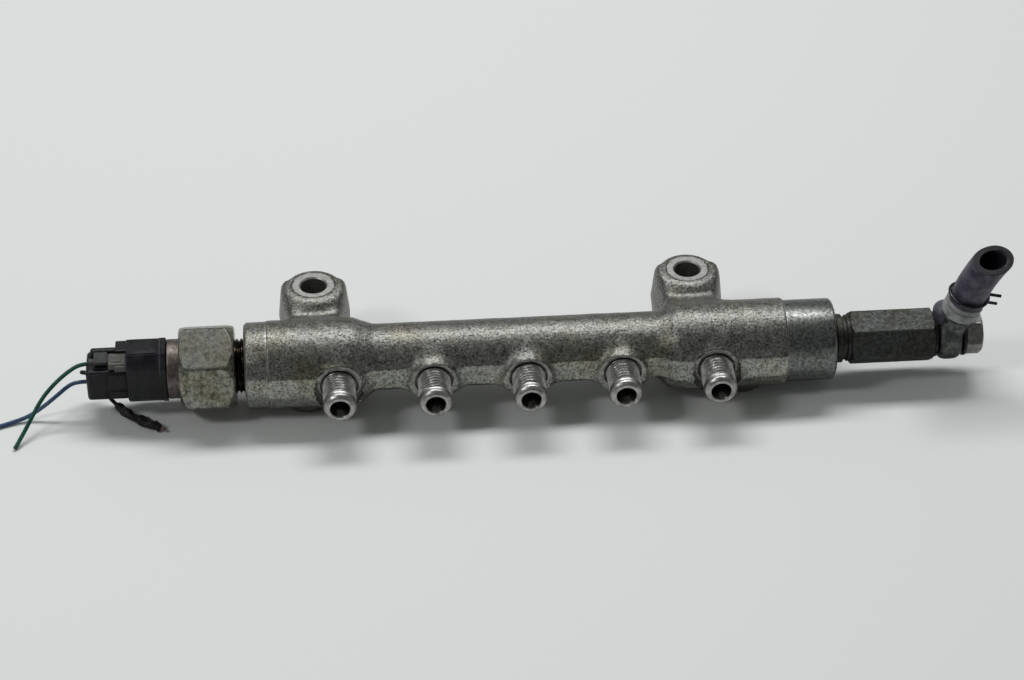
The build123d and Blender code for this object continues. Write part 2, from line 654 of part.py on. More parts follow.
def make_hose():
    """Return hose stub, swollen over the fitting's end and cut obliquely, and its wire clamp."""
    start = banjo_root_reach + 0.3
    path, cut_middle = hose_path(start)
    plane = Plane(origin=path @ 0, z_dir=stub_direction)
    hose = sweep(plane * Circle(hose_r), path=path)
    swell_end = start + hose_swell_length
    hose += along_stub(start, swell_end - 1, hose_swell_r)
    hose += along_stub(swell_end - 1, swell_end, hose_swell_r, hose_r)
    hose -= sweep(plane * Circle(hose_bore_r), path=path)
    cut = Plane(origin=cut_middle, z_dir=leaning(hose_cut_lean, hose_cut_forward))
    hose -= cut * Box(8 * hose_r, 8 * hose_r, 4 * hose_r, align=(Align.CENTER, Align.CENTER, Align.MIN))
    save(hose, "return_hose")
    coil_r = hose_r + clamp_wire_r + running_gap
    origin = Vector(ring_x, 0, 0) + stub_direction * (start + clamp_start)
    across = Vector(1, 0, 0) - stub_direction * stub_direction.X
    frame = Plane(origin=origin, x_dir=across.normalized(), z_dir=stub_direction)
    coil = frame * Helix(clamp_pitch, clamp_pitch, coil_r)
    wire_plane = Plane(origin=coil @ 0, z_dir=coil % 0)
    clamp = sweep(wire_plane * Circle(clamp_wire_r), path=coil, is_frenet=True)
    for height in (0, clamp_pitch):
        root = frame.from_local_coords(Vector(coil_r - clamp_wire_r / 2, 0, height))
        tang = Plane(origin=root, z_dir=frame.x_dir)
        clamp += tang * Cylinder(clamp_tang_r, clamp_tang, align=(Align.CENTER, Align.CENTER, Align.MIN))
    save(clamp, "hose_clamp")


def lead(node, points, radius):
    """Free lead of round section: straight runs joined by arcs as large as the runs allow."""
    places = [Vector(*point) for point in points]
    runs = [after - before for before, after in zip(places, places[1:])]
    radii = []
    for before, after in zip(runs, runs[1:]):
        half_turn = radians(before.get_angle(after)) / 2
        radii.append(0.45 * min(before.length, after.length) / tan(half_turn))
    path = FilletPolyline(*places, radius=radii) if radii else Line(*places)
    tube = sweep(Plane(origin=places[0], z_dir=runs[0]) * Circle(radius), path=path)
    expected = pi * radius ** 2 * path.length
    print(node, "radii", [round(r, 1) for r in radii], "length", round(path.length, 1),
          "volume ratio", round(tube.volume / expected, 4))
    save(tube, node)


# routes of the cut-off leads, from the plug's rear to their cut ends on the ground
seal_face = rear_left + 1.0
green_route = [
    (seal_face, 0, pin_pitch), (seal_face - 3.3, 0, pin_pitch), (-165.6, -1.2, 1.2), (-170.6, -3.4, -2.4),
    (-174.8, -6.5, -6.0), (-178.2, -10.6, -10.2), (-181.5, -15.6, -14.2), (-184.5, -20.9, -16.6)]
blue_route = [
    (seal_face, 0, -pin_pitch), (seal_face - 3.3, 0, -pin_pitch), (-164.6, -1.0, -4.0), (-169.8, -2.2, -8.2),
    (-175.2, -3.2, -12.4), (-180.2, -4.2, -15.4), (-185.6, -5.8, -16.5), (-191.5, -8.2, -16.5)]
black_route = [
    (seal_face, 0, 0), (seal_face - 3.2, 0, 0), (-160.3, 4.4, -2.8), (-158.0, 9.0, -8.6),
    (-153.4, 4.6, -11.7), (-150.6, -0.6, -12.6), (-148.6, -2.9, -13.1)]
tape_route = [(-148.6, -2.9, -13.1), (-144.2, -7.96, -14.2), (-138.4, -10.6, -15.3), (-132.6, -14.2, -15.7)]


def make_leads():
    """The three cut-off leads, the tape round the black one and its bare copper end."""
    lead("green_wire", green_route, wire_r)
    lead("blue_wire", blue_route, wire_r)
    lead("black_wire", black_route, wire_r)
    lead("wire_tape", tape_route, tape_r)
    end = Vector(*tape_route[-1])
    direction = (end - Vector(*tape_route[-2])).normalized()
    copper = Plane(origin=end, z_dir=direction) * Cylinder(
        copper_r, copper_length, align=(Align.CENTER, Align.CENTER, Align.MIN))
    save(copper, "wire_copper")


os.makedirs("parts", exist_ok=True)
save(make_rail_body(), "rail_body")
make_sensor()
make_plug()
make_limiter()
make_banjo()
make_hose()
make_leads()
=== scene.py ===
import bpy
import numpy as np
from mathutils import Matrix


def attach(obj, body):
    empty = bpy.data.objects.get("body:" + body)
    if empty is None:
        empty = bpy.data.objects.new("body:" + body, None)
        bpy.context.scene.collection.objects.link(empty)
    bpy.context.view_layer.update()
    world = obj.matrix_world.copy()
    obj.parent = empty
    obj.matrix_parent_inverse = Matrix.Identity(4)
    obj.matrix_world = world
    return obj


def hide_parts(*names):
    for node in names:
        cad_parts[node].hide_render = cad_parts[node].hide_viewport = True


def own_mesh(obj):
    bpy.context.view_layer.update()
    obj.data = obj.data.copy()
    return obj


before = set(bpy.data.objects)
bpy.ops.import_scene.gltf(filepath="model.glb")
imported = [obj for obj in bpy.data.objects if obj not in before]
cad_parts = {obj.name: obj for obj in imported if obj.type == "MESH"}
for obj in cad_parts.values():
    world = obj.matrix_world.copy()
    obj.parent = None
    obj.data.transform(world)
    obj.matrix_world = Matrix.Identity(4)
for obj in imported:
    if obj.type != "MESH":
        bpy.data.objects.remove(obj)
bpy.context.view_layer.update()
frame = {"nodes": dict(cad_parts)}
MM = 0.001
BODY = "body"
RAIL = ("forged_steel", ("rail_body",))

# Fuel rail with its sensor, cut-off plug, pressure limiter and return hose stub.
# Sizes are in millimetres until a mesh is made. X runs along the rail, the outlets point along -Y.

# ---- sizes shared by several pieces
tube_r, flare_r = 13.0, 16.0
flare_left, flare_right, flare_taper = -63.7, 56.0, 9.8
left_band_x, right_band_x = (-101.5, -93.5), (94.1, 112.1)
left_band_r, right_band_r = 15.45, 14.9
outlet_x = np.array([-68.0, -34.0, 0.0, 34.0, 68.0])
boss_face, boss_r, boss_corner = 14.4, 8.0, 8.6
recess_r, recess_depth = 6.7, 0.7
land_step, land_low, land_high, land_edge = 0.65, -4.4, 4.4, 0.5
ear_x, ear_y, ear_face = (-75.9, 62.4), 30.1, 12.4
ear_hole_r, ear_ring_r = 4.75, 7.75
foot_x, floor_z = 79.0, -17.4


# ---------------------------------------------------------------- meshes
def show(item):
    """Puts an object into the scene."""
    bpy.context.scene.collection.objects.link(item)


def make_piece(name, points, faces, slot, replaced, smooth_angle):
    """Makes one object from points in millimetres and lists of corner numbers."""
    mesh = bpy.data.meshes.new(name)
    mesh.from_pydata((np.asarray(points, float) * MM).tolist(), [], [list(face) for face in faces])
    mesh.update()
    mesh.shade_smooth()
    mesh.set_sharp_from_angle(angle=np.radians(smooth_angle))
    piece = bpy.data.objects.new(name, mesh)
    show(piece)
    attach(piece, BODY)
    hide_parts(*replaced)
    return piece


def ring_faces(rows, columns, start, closed_rows):
    """Quads of a grid of rings: each ring's points join the next ring's, all the way round."""
    last = rows if closed_rows else rows - 1
    i = np.arange(last)[:, None]
    j = np.arange(columns)[None, :]
    here, after = i * columns, ((i + 1) % rows) * columns
    right = (j + 1) % columns
    quads = np.stack([here + j, here + right, after + right, after + j], axis=-1)
    return (quads.reshape(-1, 4) + start).tolist()


def cap_faces(first, columns, pole, flip):
    """Triangles from one ring to its pole."""
    j = np.arange(columns)
    right = (j + 1) % columns
    fans = np.stack([first + j, np.full(columns, pole), first + right], axis=-1)
    return (fans[:, ::-1] if flip else fans).tolist()


class Shell:
    """Collects closed shells, so that one piece can hold several."""

    def __init__(self):
        self.points = []
        self.faces = []
        self.count = 0

    def rings(self, grid, closed_rows=False):
        """Adds a grid of rings (rows, columns, 3). An open one gets a pole at the middle of each end."""
        rows, columns = grid.shape[:2]
        start = self.count
        flat = [grid.reshape(-1, 3)]
        self.faces += ring_faces(rows, columns, start, closed_rows)
        total = rows * columns
        if not closed_rows:
            flat.append(np.stack([grid[0].mean(axis=0), grid[-1].mean(axis=0)]))
            self.faces += cap_faces(start, columns, start + total, False)
            self.faces += cap_faces(start + total - columns, columns, start + total + 1, True)
            total += 2
        self.points.append(np.concatenate(flat))
        self.count += total
        return self

    def piece(self, name, slot, replaced, smooth_angle=38):
        """The collected shells as one object."""
        return make_piece(name, np.concatenate(self.points), self.faces, slot, replaced, smooth_angle)


def unit(vector):
    """The vector at length 1."""
    return vector / np.linalg.norm(vector)


def unit_rows(vectors):
    """Each row's vector at length 1."""
    return vectors / np.linalg.norm(vectors, axis=-1)[..., None]


def axes_of(direction, side):
    """Unit vectors: the direction, a side made square to it, and the third that makes a right-handed set."""
    along = unit(np.asarray(direction, float))
    across = unit(np.asarray(side, float) - along * np.dot(side, along))
    return along, across, np.cross(along, across)


def turned_rings(profile, centre, direction, side=(0, 0, 1), columns=96, radius_change=None):
    """Rings of a turned shape: ring i lies at centre + along * s_i, with radius r_i, or r_i changed by angle.

    profile is a list of (s, r). radius_change(s, angle, r) gives the radius where it isn't round."""
    along, across, third = axes_of(direction, side)
    profile = np.asarray(profile, float)
    angle = np.linspace(0, 2 * np.pi, columns, endpoint=False)
    s = profile[:, 0][:, None] + 0 * angle[None, :]
    r = profile[:, 1][:, None] + 0 * angle[None, :]
    if radius_change is not None:
        r = radius_change(s, angle[None, :] + 0 * s, r)
    cos, sin = np.cos(angle)[None, :, None], np.sin(angle)[None, :, None]
    return (np.asarray(centre, float) + s[..., None] * along
            + r[..., None] * (cos * across + sin * third))


def about_x(profile, columns=96, radius_change=None, side=(0, -1, 0)):
    """Rings of a shape turned about the rail's own axis."""
    return turned_rings(profile, (0, 0, 0), (1, 0, 0), side, columns, radius_change)


def stations(corners, step):
    """A profile's corners with points between them no further apart than step."""
    corners = np.asarray(corners, float)
    out = [corners[:1]]
    for before, after in zip(corners, corners[1:]):
        count = max(1, int(np.ceil(np.linalg.norm(after - before) / step)))
        share = np.linspace(0, 1, count + 1)[1:, None]
        out.append(before + (after - before) * share)
    return np.concatenate(out)


def eased(profile, cut):
    """A profile with each sharp corner replaced by two points, cut mm before and after it."""
    profile = np.asarray(profile, float)
    out = [profile[0]]
    for before, corner, after in zip(profile, profile[1:], profile[2:]):
        back, ahead = before - corner, after - corner
        for leg in (back, ahead):
            length = np.linalg.norm(leg)
            out.append(corner + leg / length * min(cut, 0.4 * length))
    out.append(profile[-1])
    return np.array(out)


def thread(start, end, pitch, depth, run_out=1.0):
    """Radius change of a right-hand thread: r lowered by a blunt zigzag of (s / pitch - turn), faded at both ends."""
    crest, flank = 0.86, 0.80

    def change(s, angle, r):
        phase = (s / pitch - angle / (2 * np.pi)) % 1.0
        zigzag = np.abs(2 * phase - 1)
        groove = np.clip((crest - zigzag) / flank, 0, 1)
        fade = np.clip((s - start) / run_out, 0, 1) * np.clip((end - s) / run_out, 0, 1)
        return r - depth * groove * fade
    return change


def hexagonal(across_flats, edge, x0, x1, chamfer_left, chamfer_right):
    """Radius of a hexagon with turned-off corners: the least of the flat's distance / cos(angle) and two cones."""
    flat = across_flats / 2
    corner = flat / np.cos(np.pi / 6)
    corner_wear, cone_start, untouched = 0.18, 0.97, 0.9

    def change(s, angle, r):
        turned = (angle - np.radians(edge) + np.pi / 6) % (np.pi / 3) - np.pi / 6
        spread = np.pi / 6 - np.abs(turned)
        radius = np.minimum(flat / np.cos(spread), corner - corner_wear)
        rise = corner - flat * cone_start
        left = flat * cone_start + (s - x0) / chamfer_left * rise
        right = flat * cone_start + (x1 - s) / chamfer_right * rise
        limited = np.minimum(radius, np.minimum(left, right))
        return np.where(r > flat * untouched, limited, r)
    return change


def swept_rings(path, radii, side, columns=32, squeeze=None):
    """Rings carried along a path without twist: each ring stands square to the path's own direction.

    The frame is passed from point to point, each side vector made square to the next direction."""
    path = np.asarray(path, float)
    tangent = np.gradient(path, axis=0)
    tangent /= np.linalg.norm(tangent, axis=1)[:, None]
    across = np.asarray(side, float)
    frames = []
    for direction in tangent:
        across = unit(across - direction * np.dot(across, direction))
        frames.append(across)
    across = np.array(frames)
    third = np.cross(tangent, across)
    angle = np.linspace(0, 2 * np.pi, columns, endpoint=False)
    radii = np.broadcast_to(np.asarray(radii, float), (len(path),))
    r = radii[:, None] + 0 * angle[None, :]
    if squeeze is not None:
        r = squeeze(r, angle[None, :])
    return (path[:, None, :] + r[..., None] * (np.cos(angle)[None, :, None] * across[:, None, :]
                                               + np.sin(angle)[None, :, None] * third[:, None, :]))


# ---------------------------------------------------------------- forged skin
def blend_union(a, b, width):
    """Union of two distances with a fillet: min(a, b) less a quarter of the squared overlap over the width."""
    overlap = np.maximum(width - np.abs(a - b), 0) / width
    return np.minimum(a, b) - overlap * overlap * width / 4


def blend_cut(a, b, width):
    """Intersection of two distances with a rounded edge of that width."""
    return -blend_union(-a, -b, width)


def off_axis(a, b):
    """Distance from an axis, from the two distances square to it: the root of the sum of their squares."""
    return np.sqrt(a * a + b * b)


def lattice_noise(p, cell, seed):
    """Smooth random field from -1 to 1: random values at a lattice's corners, eased between them."""
    values = np.random.default_rng(seed).uniform(-1, 1, (64, 32, 32))
    q = p / cell + 500.0
    base = np.floor(q).astype(int)
    f = q - base
    f = f * f * (3 - 2 * f)
    total = 0
    for i in (0, 1):
        for j in (0, 1):
            for k in (0, 1):
                weight = (np.where(i, f[..., 0], 1 - f[..., 0]) * np.where(j, f[..., 1], 1 - f[..., 1])
                          * np.where(k, f[..., 2], 1 - f[..., 2]))
                total = total + weight * values[(base[..., 0] + i) % 64, (base[..., 1] + j) % 32,
                                                (base[..., 2] + k) % 32]
    return total


def rail_radius(x):
    """Radius of the forging: thick at both ends, thin between, with an eased step 3t^2 - 2t^3 at each change."""
    left = np.clip((flare_left + flare_taper - x) / flare_taper, 0, 1)
    right = np.clip((x - flare_right + flare_taper) / flare_taper, 0, 1)
    t = np.maximum(left, right)
    return tube_r + (flare_r - tube_r) * t * t * (3 - 2 * t)


def front_of_land(x):
    """Depth of the trimmed flat in front: the round skin cut back until its upper edge lies at land_high."""
    radius = rail_radius(x)
    return np.sqrt(radius * radius - land_high * land_high)


under_shift, under_lift, under_shrink, under_fade = 0.3, 2.0, 0.2, 1.6
skin_grains = ((0.06, 6.0, 11), (0.045, 2.6, 12))
boss_draft, boss_slope, boss_end_y = 0.14, 0.99, -2.0
boss_fillet, fillet_change, fillet_reach = 4.6, 2.0, 3.0
ear_mid_r, ear_top_r, ear_edge, ear_fillets = 11.6, 10.8, 3.2, (3.4, 5.0)
neck_half, neck_top, neck_draft, neck_slope = 11.1, 9.6, 0.158, 0.988
neck_edge, neck_fillet = 3.0, 7.0
foot_r, foot_draft, foot_slope, foot_top = 8.0, 0.21, 0.98, -6.0
foot_edge, foot_fillet, band_edge = 1.6, 2.6, 0.7
recess_clear, recess_floor_clear, hole_clear, ring_clear, face_clear = 0.35, 0.4, 0.25, 0.1, 0.05


def forging(p):
    """Signed distance of the forging's skin: tube, land, bosses, ears with necks, and feet, blended by fillets.

    The tube is what two rounds share: the rail itself, and a slimmer round lifted between the thick ends."""
    x, y, z = p[..., 0], p[..., 1], p[..., 2]
    radius = rail_radius(x)
    slim = np.clip((tube_r + under_fade - radius) / under_fade, 0, 1)
    under = off_axis(y - under_shift * slim, z - under_lift * slim) - (radius - under_shrink * slim)
    body = blend_cut(off_axis(y, z) - radius, under, 0.8)
    body = blend_cut(body, -y - front_of_land(x), 0.3)
    for depth, cell, seed in skin_grains:
        body = body + depth * lattice_noise(p, cell, seed)
    land = np.where(y < 0, -y - front_of_land(x), y - rail_radius(x) - land_step)
    land = blend_cut(land, np.maximum(z - land_high, land_low - z), land_edge)
    body = blend_union(body, land, land_edge)
    for centre in outlet_x:
        boss = off_axis(x - centre, z) - (boss_r + np.maximum(boss_face + y, 0) * boss_draft)
        boss = blend_cut(boss * boss_slope, y - boss_end_y, 0.4)
        body = blend_union(body, boss, boss_fillet - fillet_change * np.tanh(z / fillet_reach))
    for centre, fillet in zip(ear_x, ear_fillets):
        head = off_axis(x - centre, y - ear_y) - (ear_mid_r - np.abs(z) * (ear_mid_r - ear_top_r) / ear_face)
        head = blend_cut(head, np.abs(z) - ear_face, ear_edge)
        neck = np.abs(x - centre) - (neck_half - np.abs(z) * neck_draft)
        neck = blend_cut(neck * neck_slope, np.abs(z) - neck_top, neck_edge)
        neck = np.maximum(neck, np.maximum(-y, y - ear_y))
        body = blend_union(body, blend_union(head, neck, neck_fillet), fillet)
    for centre in (-foot_x, foot_x):
        foot = (off_axis(x - centre, y) - (foot_r + (z - floor_z) * foot_draft)) * foot_slope
        foot = blend_cut(foot, np.maximum(floor_z - z, z - foot_top), foot_edge)
        body = blend_union(body, foot, foot_fillet)
    body = blend_cut(body, np.maximum(left_band_x[1] - x, x - right_band_x[0]), band_edge)
    for centre in outlet_x:
        around = off_axis(x - centre, z)
        body = np.maximum(body, -np.maximum(around - boss_corner, y + boss_face))
        body = np.maximum(body, -np.maximum(around - recess_r - recess_clear,
                                            y + boss_face - recess_depth - recess_floor_clear))
    body = np.maximum(body, floor_z - z)
    for centre in ear_x:
        around = off_axis(x - centre, y - ear_y)
        body = np.maximum(body, ear_hole_r + hole_clear - around)
        body = np.maximum(body, -np.maximum(around - ear_ring_r - ring_clear, ear_face - face_clear - np.abs(z)))
    return body


def skin_of(field, low, high, step):
    """Closed skin where a field is zero, with one quad for each lattice edge that it crosses.

    Each crossed cell has one point: the mean of its edge crossings, moved along the field's slope onto the zero."""
    counts = np.ceil((np.array(high) - np.array(low)) / step).astype(int) + 1
    lines = [low[a] + step * np.arange(counts[a]) for a in range(3)]
    lattice = np.stack(np.meshgrid(*lines, indexing="ij"), axis=-1)
    value = np.concatenate([field(lattice[i:i + 24]) for i in range(0, counts[0], 24)])
    inside = value < 0
    corner_offsets = [(i, j, k) for i in (0, 1) for j in (0, 1) for k in (0, 1)]
    nx, ny, nz = counts - 1
    number = sum(inside[i:i + nx, j:j + ny, k:k + nz].astype(np.int8) for i, j, k in corner_offsets)
    cell = np.argwhere((number > 0) & (number < 8))
    index = np.full((nx, ny, nz), -1)
    index[cell[:, 0], cell[:, 1], cell[:, 2]] = np.arange(len(cell))
    corner = np.array([value[cell[:, 0] + i, cell[:, 1] + j, cell[:, 2] + k] for i, j, k in corner_offsets])
    total, hits = np.zeros((len(cell), 3)), np.zeros(len(cell))
    for a, first in enumerate(corner_offsets):
        for b, second in enumerate(corner_offsets):
            if b > a and sum(np.abs(np.subtract(first, second))) == 1:
                crossed = (corner[a] < 0) != (corner[b] < 0)
                share = np.where(crossed, corner[a] / np.where(crossed, corner[a] - corner[b], 1), 0)
                place = np.array(first) + share[:, None] * (np.array(second) - np.array(first))
                total += place * crossed[:, None]
                hits += crossed
    points = np.array(low) + step * (cell + total / hits[:, None])
    start = points.copy()
    for _ in range(3):
        here = field(points)
        reach = 0.15 * step
        slope = np.stack([(field(points + reach * unit) - field(points - reach * unit)) / (2 * reach)
                          for unit in np.eye(3)], axis=-1)
        size = np.maximum((slope ** 2).sum(axis=-1), 0.25)
        points = points - 0.8 * (here / size)[:, None] * slope
        points = start + np.clip(points - start, -0.45 * step, 0.45 * step)
    faces = []
    for a in range(3):
        b, c = (a + 1) % 3, (a + 2) % 3
        near, far = [slice(None)] * 3, [slice(None)] * 3
        near[a], far[a] = slice(0, -1), slice(1, None)
        crossed = inside[tuple(near)] != inside[tuple(far)]
        at = np.argwhere(crossed)
        at = at[(at[:, b] > 0) & (at[:, c] > 0) & (at[:, b] < counts[b] - 1) & (at[:, c] < counts[c] - 1)]
        leaving = inside[at[:, 0], at[:, 1], at[:, 2]]
        quad = []
        for db, dc in ((1, 1), (0, 1), (0, 0), (1, 0)):
            shifted = at.copy()
            shifted[:, b] -= db
            shifted[:, c] -= dc
            quad.append(index[shifted[:, 0], shifted[:, 1], shifted[:, 2]])
        quad = np.stack(quad, axis=-1)
        quad[~leaving] = quad[~leaving][:, ::-1]
        faces.append(quad)
    return points, np.concatenate(faces)


def forged_skin():
    """The rail's forged skin."""
    step = 0.66
    points, faces = skin_of(forging, (-95.0, -18.0, -18.3), (95.6, 43.0, 17.6), step)
    make_piece("forged_skin", points, faces.tolist(), *RAIL, 60)


# ---------------------------------------------------------------- machined parts of the rail
def boss_outline(centre, angle):
    """Radius at which the boss's flat face meets the forging's skin, found by halving along each direction."""
    low, high = np.full(angle.shape, recess_r), np.full(angle.shape, boss_corner + 0.02)
    for _ in range(24):
        middle = (low + high) / 2
        x, y, z = centre + middle * np.cos(angle), np.full(angle.shape, -boss_face + 0.05), middle * np.sin(angle)
        boss = off_axis(x - centre, z) - boss_r
        land = blend_cut(-y - front_of_land(x), np.maximum(z - land_high, land_low - z), land_edge)
        tube = off_axis(y, z) - rail_radius(x)
        solid = blend_union(blend_union(tube, land, land_edge), boss, 2.2) < 0
        low, high = np.where(solid, middle, low), np.where(solid, high, middle)
    return low


def boss_faces():
    """Spot-faced rings round the outlets, and the recess inside each, closed behind, whose darker finish is painted
    shade.
    """
    rims, floors = Shell(), Shell()
    angle = np.linspace(0, 2 * np.pi, 120, endpoint=False)
    even = np.ones(angle.shape)
    face, drop, core_r = boss_face, recess_depth, 4.9
    for centre in outlet_x:
        edge = boss_outline(centre, angle)
        rim = [(edge - 0.5, face - 0.45), (edge - 0.12, face - 0.2), (edge - 0.04, face - 0.02),
               (edge - 0.16, face + 0.05), (even * (recess_r + 0.2), face + 0.05),
               (even * (recess_r + 0.05), face - 0.1), (even * (recess_r + 0.05), face - 0.45)]
        recess = [(even * (recess_r + 0.3), face - 0.3), (even * recess_r, face - 0.3),
                  (even * recess_r, face - drop), (even * core_r, face - drop),
                  (even * core_r, face - drop - 0.3), (even * (recess_r + 0.3), face - drop - 0.3)]
        for shell, rows in ((rims, rim), (floors, recess)):
            grid = np.stack([np.stack([centre + r * np.cos(angle), -d * even, -r * np.sin(angle)], axis=-1)
                             for r, d in rows])
            shell.rings(grid, closed_rows=True)
    rims.piece("boss_faces", *RAIL)
    floors.piece("boss_recesses", *RAIL)


def outlets():
    """Threaded outlets: neck, thread, nose, end ring, seat and drilling, each turned about its own axis."""
    reach, neck_r, thread_r, nose_r, drill_r = 28.1, 5.2, 6.0, 5.9, 1.2
    start, end, pitch, depth = 13.9, 25.1, 1.5, 1.2
    turn_each, fine_step, coarse_step = 1.7, 0.15, 0.8
    profile = eased([(12.4, neck_r - 0.6), (12.5, neck_r), (13.4, neck_r), (14.0, thread_r - 0.2),
                     (14.2, thread_r), (end, thread_r), (end + 0.2, nose_r), (reach - 1.2, nose_r), (reach, 4.8),
                     (reach, 3.75), (reach - 4.42, drill_r), (reach - 9.0, 1.15)], 0.1)
    spread = [profile[0]]
    for before, after in zip(profile, profile[1:]):
        threaded = before[1] > 5.8 and after[1] > 5.8 and after[0] < end + 0.3
        spread += list(stations([before, after], fine_step if threaded else coarse_step)[1:])
    cut = thread(start, end - 0.1, pitch, depth, 0.7)
    outside, lining = Shell(), Shell()
    for number, centre in enumerate(outlet_x):
        twist = turn_each * number
        outside.rings(turned_rings(spread, (centre, 0, 0), (0, -1, 0), (np.cos(twist), 0, np.sin(twist)), 84,
                                   lambda s, a, r: np.where(r > 5.7, cut(s, a, r), r)))
        # A lining inside each seat and drilling carries a darker finish: painted shade in the bore.
        rows = [(reach - 0.3, 3.80), (reach - 0.25, 3.58), (reach - 4.35, 1.22), (reach - 9.0, 1.10),
                (reach - 9.0, 1.40), (reach - 4.5, 1.50)]
        lining.rings(turned_rings(rows, (centre, 0, 0), (0, -1, 0), (1, 0, 0), 60), closed_rows=True)
    outside.piece("outlets", *RAIL, 50)
    lining.piece("outlet_seats", *RAIL, 50)


def ear_rings():
    """Machined rings and hole walls of the ears, one closed ring-shaped shell each."""
    shell = Shell()
    top = ear_face + 0.02
    for centre in ear_x:
        half = [(top, ear_ring_r - 0.1), (top, ear_hole_r + 0.5), (top - 0.5, ear_hole_r)]
        lower = [(-s, r) for s, r in reversed(half)]
        outer = [(-top + 0.35, ear_ring_r), (-top + 0.9, ear_ring_r - 0.6), (-top + 1.4, ear_hole_r + 0.6),
                 (top - 1.4, ear_hole_r + 0.6), (top - 0.9, ear_ring_r - 0.6), (top - 0.35, ear_ring_r)]
        grid = turned_rings(half + lower + outer, (centre, ear_y, 0), (0, 0, 1), (1, 0, 0), 96)
        shell.rings(grid[::-1], closed_rows=True)
    shell.piece("ear_rings", *RAIL)


def end_bands():
    """Turned bands at the rail's two ends, each with its chamfers, end face and port."""
    for name, (x0, x1), radius, port, outward in (("left_band", left_band_x, left_band_r, 10.2, -1),
                                                  ("right_band", right_band_x, right_band_r, 9.3, 1)):
        near, far = (x1, x0) if outward < 0 else (x0, x1)
        profile = [(near - outward * 1.0, radius - 2), (near - outward * 0.6, radius),
                   (near + outward * 0.8, radius), (far - outward * 0.9, radius), (far, radius - 0.9),
                   (far, port + 0.4), (far - outward * 0.5, port), (far - outward * 4.0, port)]
        grid = about_x(eased(profile, 0.12), 128, side=(0, 0, 1))
        Shell().rings(grid[::outward]).piece(name, *RAIL)
    seam = Shell()
    for line, radius in ((left_band_x[1], left_band_r), (right_band_x[0], right_band_r)):
        profile = [(line - 0.35, radius - 0.3), (line - 0.25, radius + 0.1), (line + 0.25, radius + 0.1),
                   (line + 0.35, radius - 0.3)]
        seam.rings(about_x(profile, 128, side=(0, 0, 1)), closed_rows=True)
    seam.piece("band_seams", *RAIL)


# ---------------------------------------------------------------- sensor
def hexagon_rings(span, flat, inner, middle, columns, edge, chamfers):
    """Rings of a hexagon along X: its ends eased in and closed down to the inner radii, its corners turned off."""
    x0, x1 = span
    first = [(x0, inner[0]), (x0, flat * 0.955), (x0 + 0.05, flat * 0.97)]
    last = [(x1 - 0.05, flat * 0.97), (x1, flat * 0.955), (x1, inner[1])]
    return about_x(np.concatenate([first, *middle, last]), columns,
                   hexagonal(2 * flat, edge, x0 - 0.02, x1 + 0.02, *chamfers))


sensor_hex, sensor_flat, sensor_chamfer = (-124.7, -105.1), 14.5, (2.6, 3.2)
collar = (-129.3, -123.6)


def sensor_pieces():
    """Sensor housing: threaded shank and chamfered hexagon, and the rolled collar that holds the connector."""
    profile = stations([(-106.0, 8.6), (-105.6, 9.0), (-105.0, 9.9), (-102.2, 10.0), (-98.0, 10.0),
                        (-97.0, 9.0)], 0.15)
    shank = about_x(profile, 96, thread(-104.9, -96.0, 1.5, 0.9, 0.5))
    Shell().rings(shank).piece("sensor_thread", "sensor_steel", ("sensor_body",), 24)
    (x0, x1), flat = sensor_hex, sensor_flat
    middle = stations([(x0 + 0.1, flat), (x0 + 3.0, flat), (x1 - 3.6, flat), (x1 - 0.1, flat)], 0.16)
    housing = hexagon_rings(sensor_hex, flat, (10.0, 9.0), [middle], 216, -34.5, sensor_chamfer)
    Shell().rings(housing).piece("sensor_housing", "sensor_steel", ("sensor_body",), 24)
    a, b = collar
    profile = eased([(a, 9.8), (a, 10.45), (a + 0.35, 10.8), (a + 1.6, 10.75), (b, 10.75), (b, 9.8)], 0.12)
    Shell().rings(about_x(profile), closed_rows=True).piece("rolled_collar", "collar_steel", ("sensor_collar",))


# ---------------------------------------------------------------- limiter and banjo
limiter_hex, limiter_flat = (118.2, 149.1), 9.0
ring_span = (150.3, 159.8)
ring_x = 155.05
head_span = (161.0, 167.1)


def leaning(lean, forward):
    """Upward unit vector that leans towards +X and towards -Y, both in degrees."""
    lean, forward = np.radians(lean), np.radians(forward)
    return unit(np.array([np.sin(lean), -np.sin(forward), np.cos(lean)]))


stub, hose_end, hose_cut = leaning(15.0, 9.8), leaning(24.6, 15.3), leaning(-8.7, 22.9)
stub_side = unit(np.array([1.0, 0, 0]) - stub * stub[0])
hose_start, hose_straight, hose_length = 11.9, 10.9, 28.2
hose_r, hose_bore_r, swell_r, swell_length = 6.4, 4.05, 6.9, 6.2


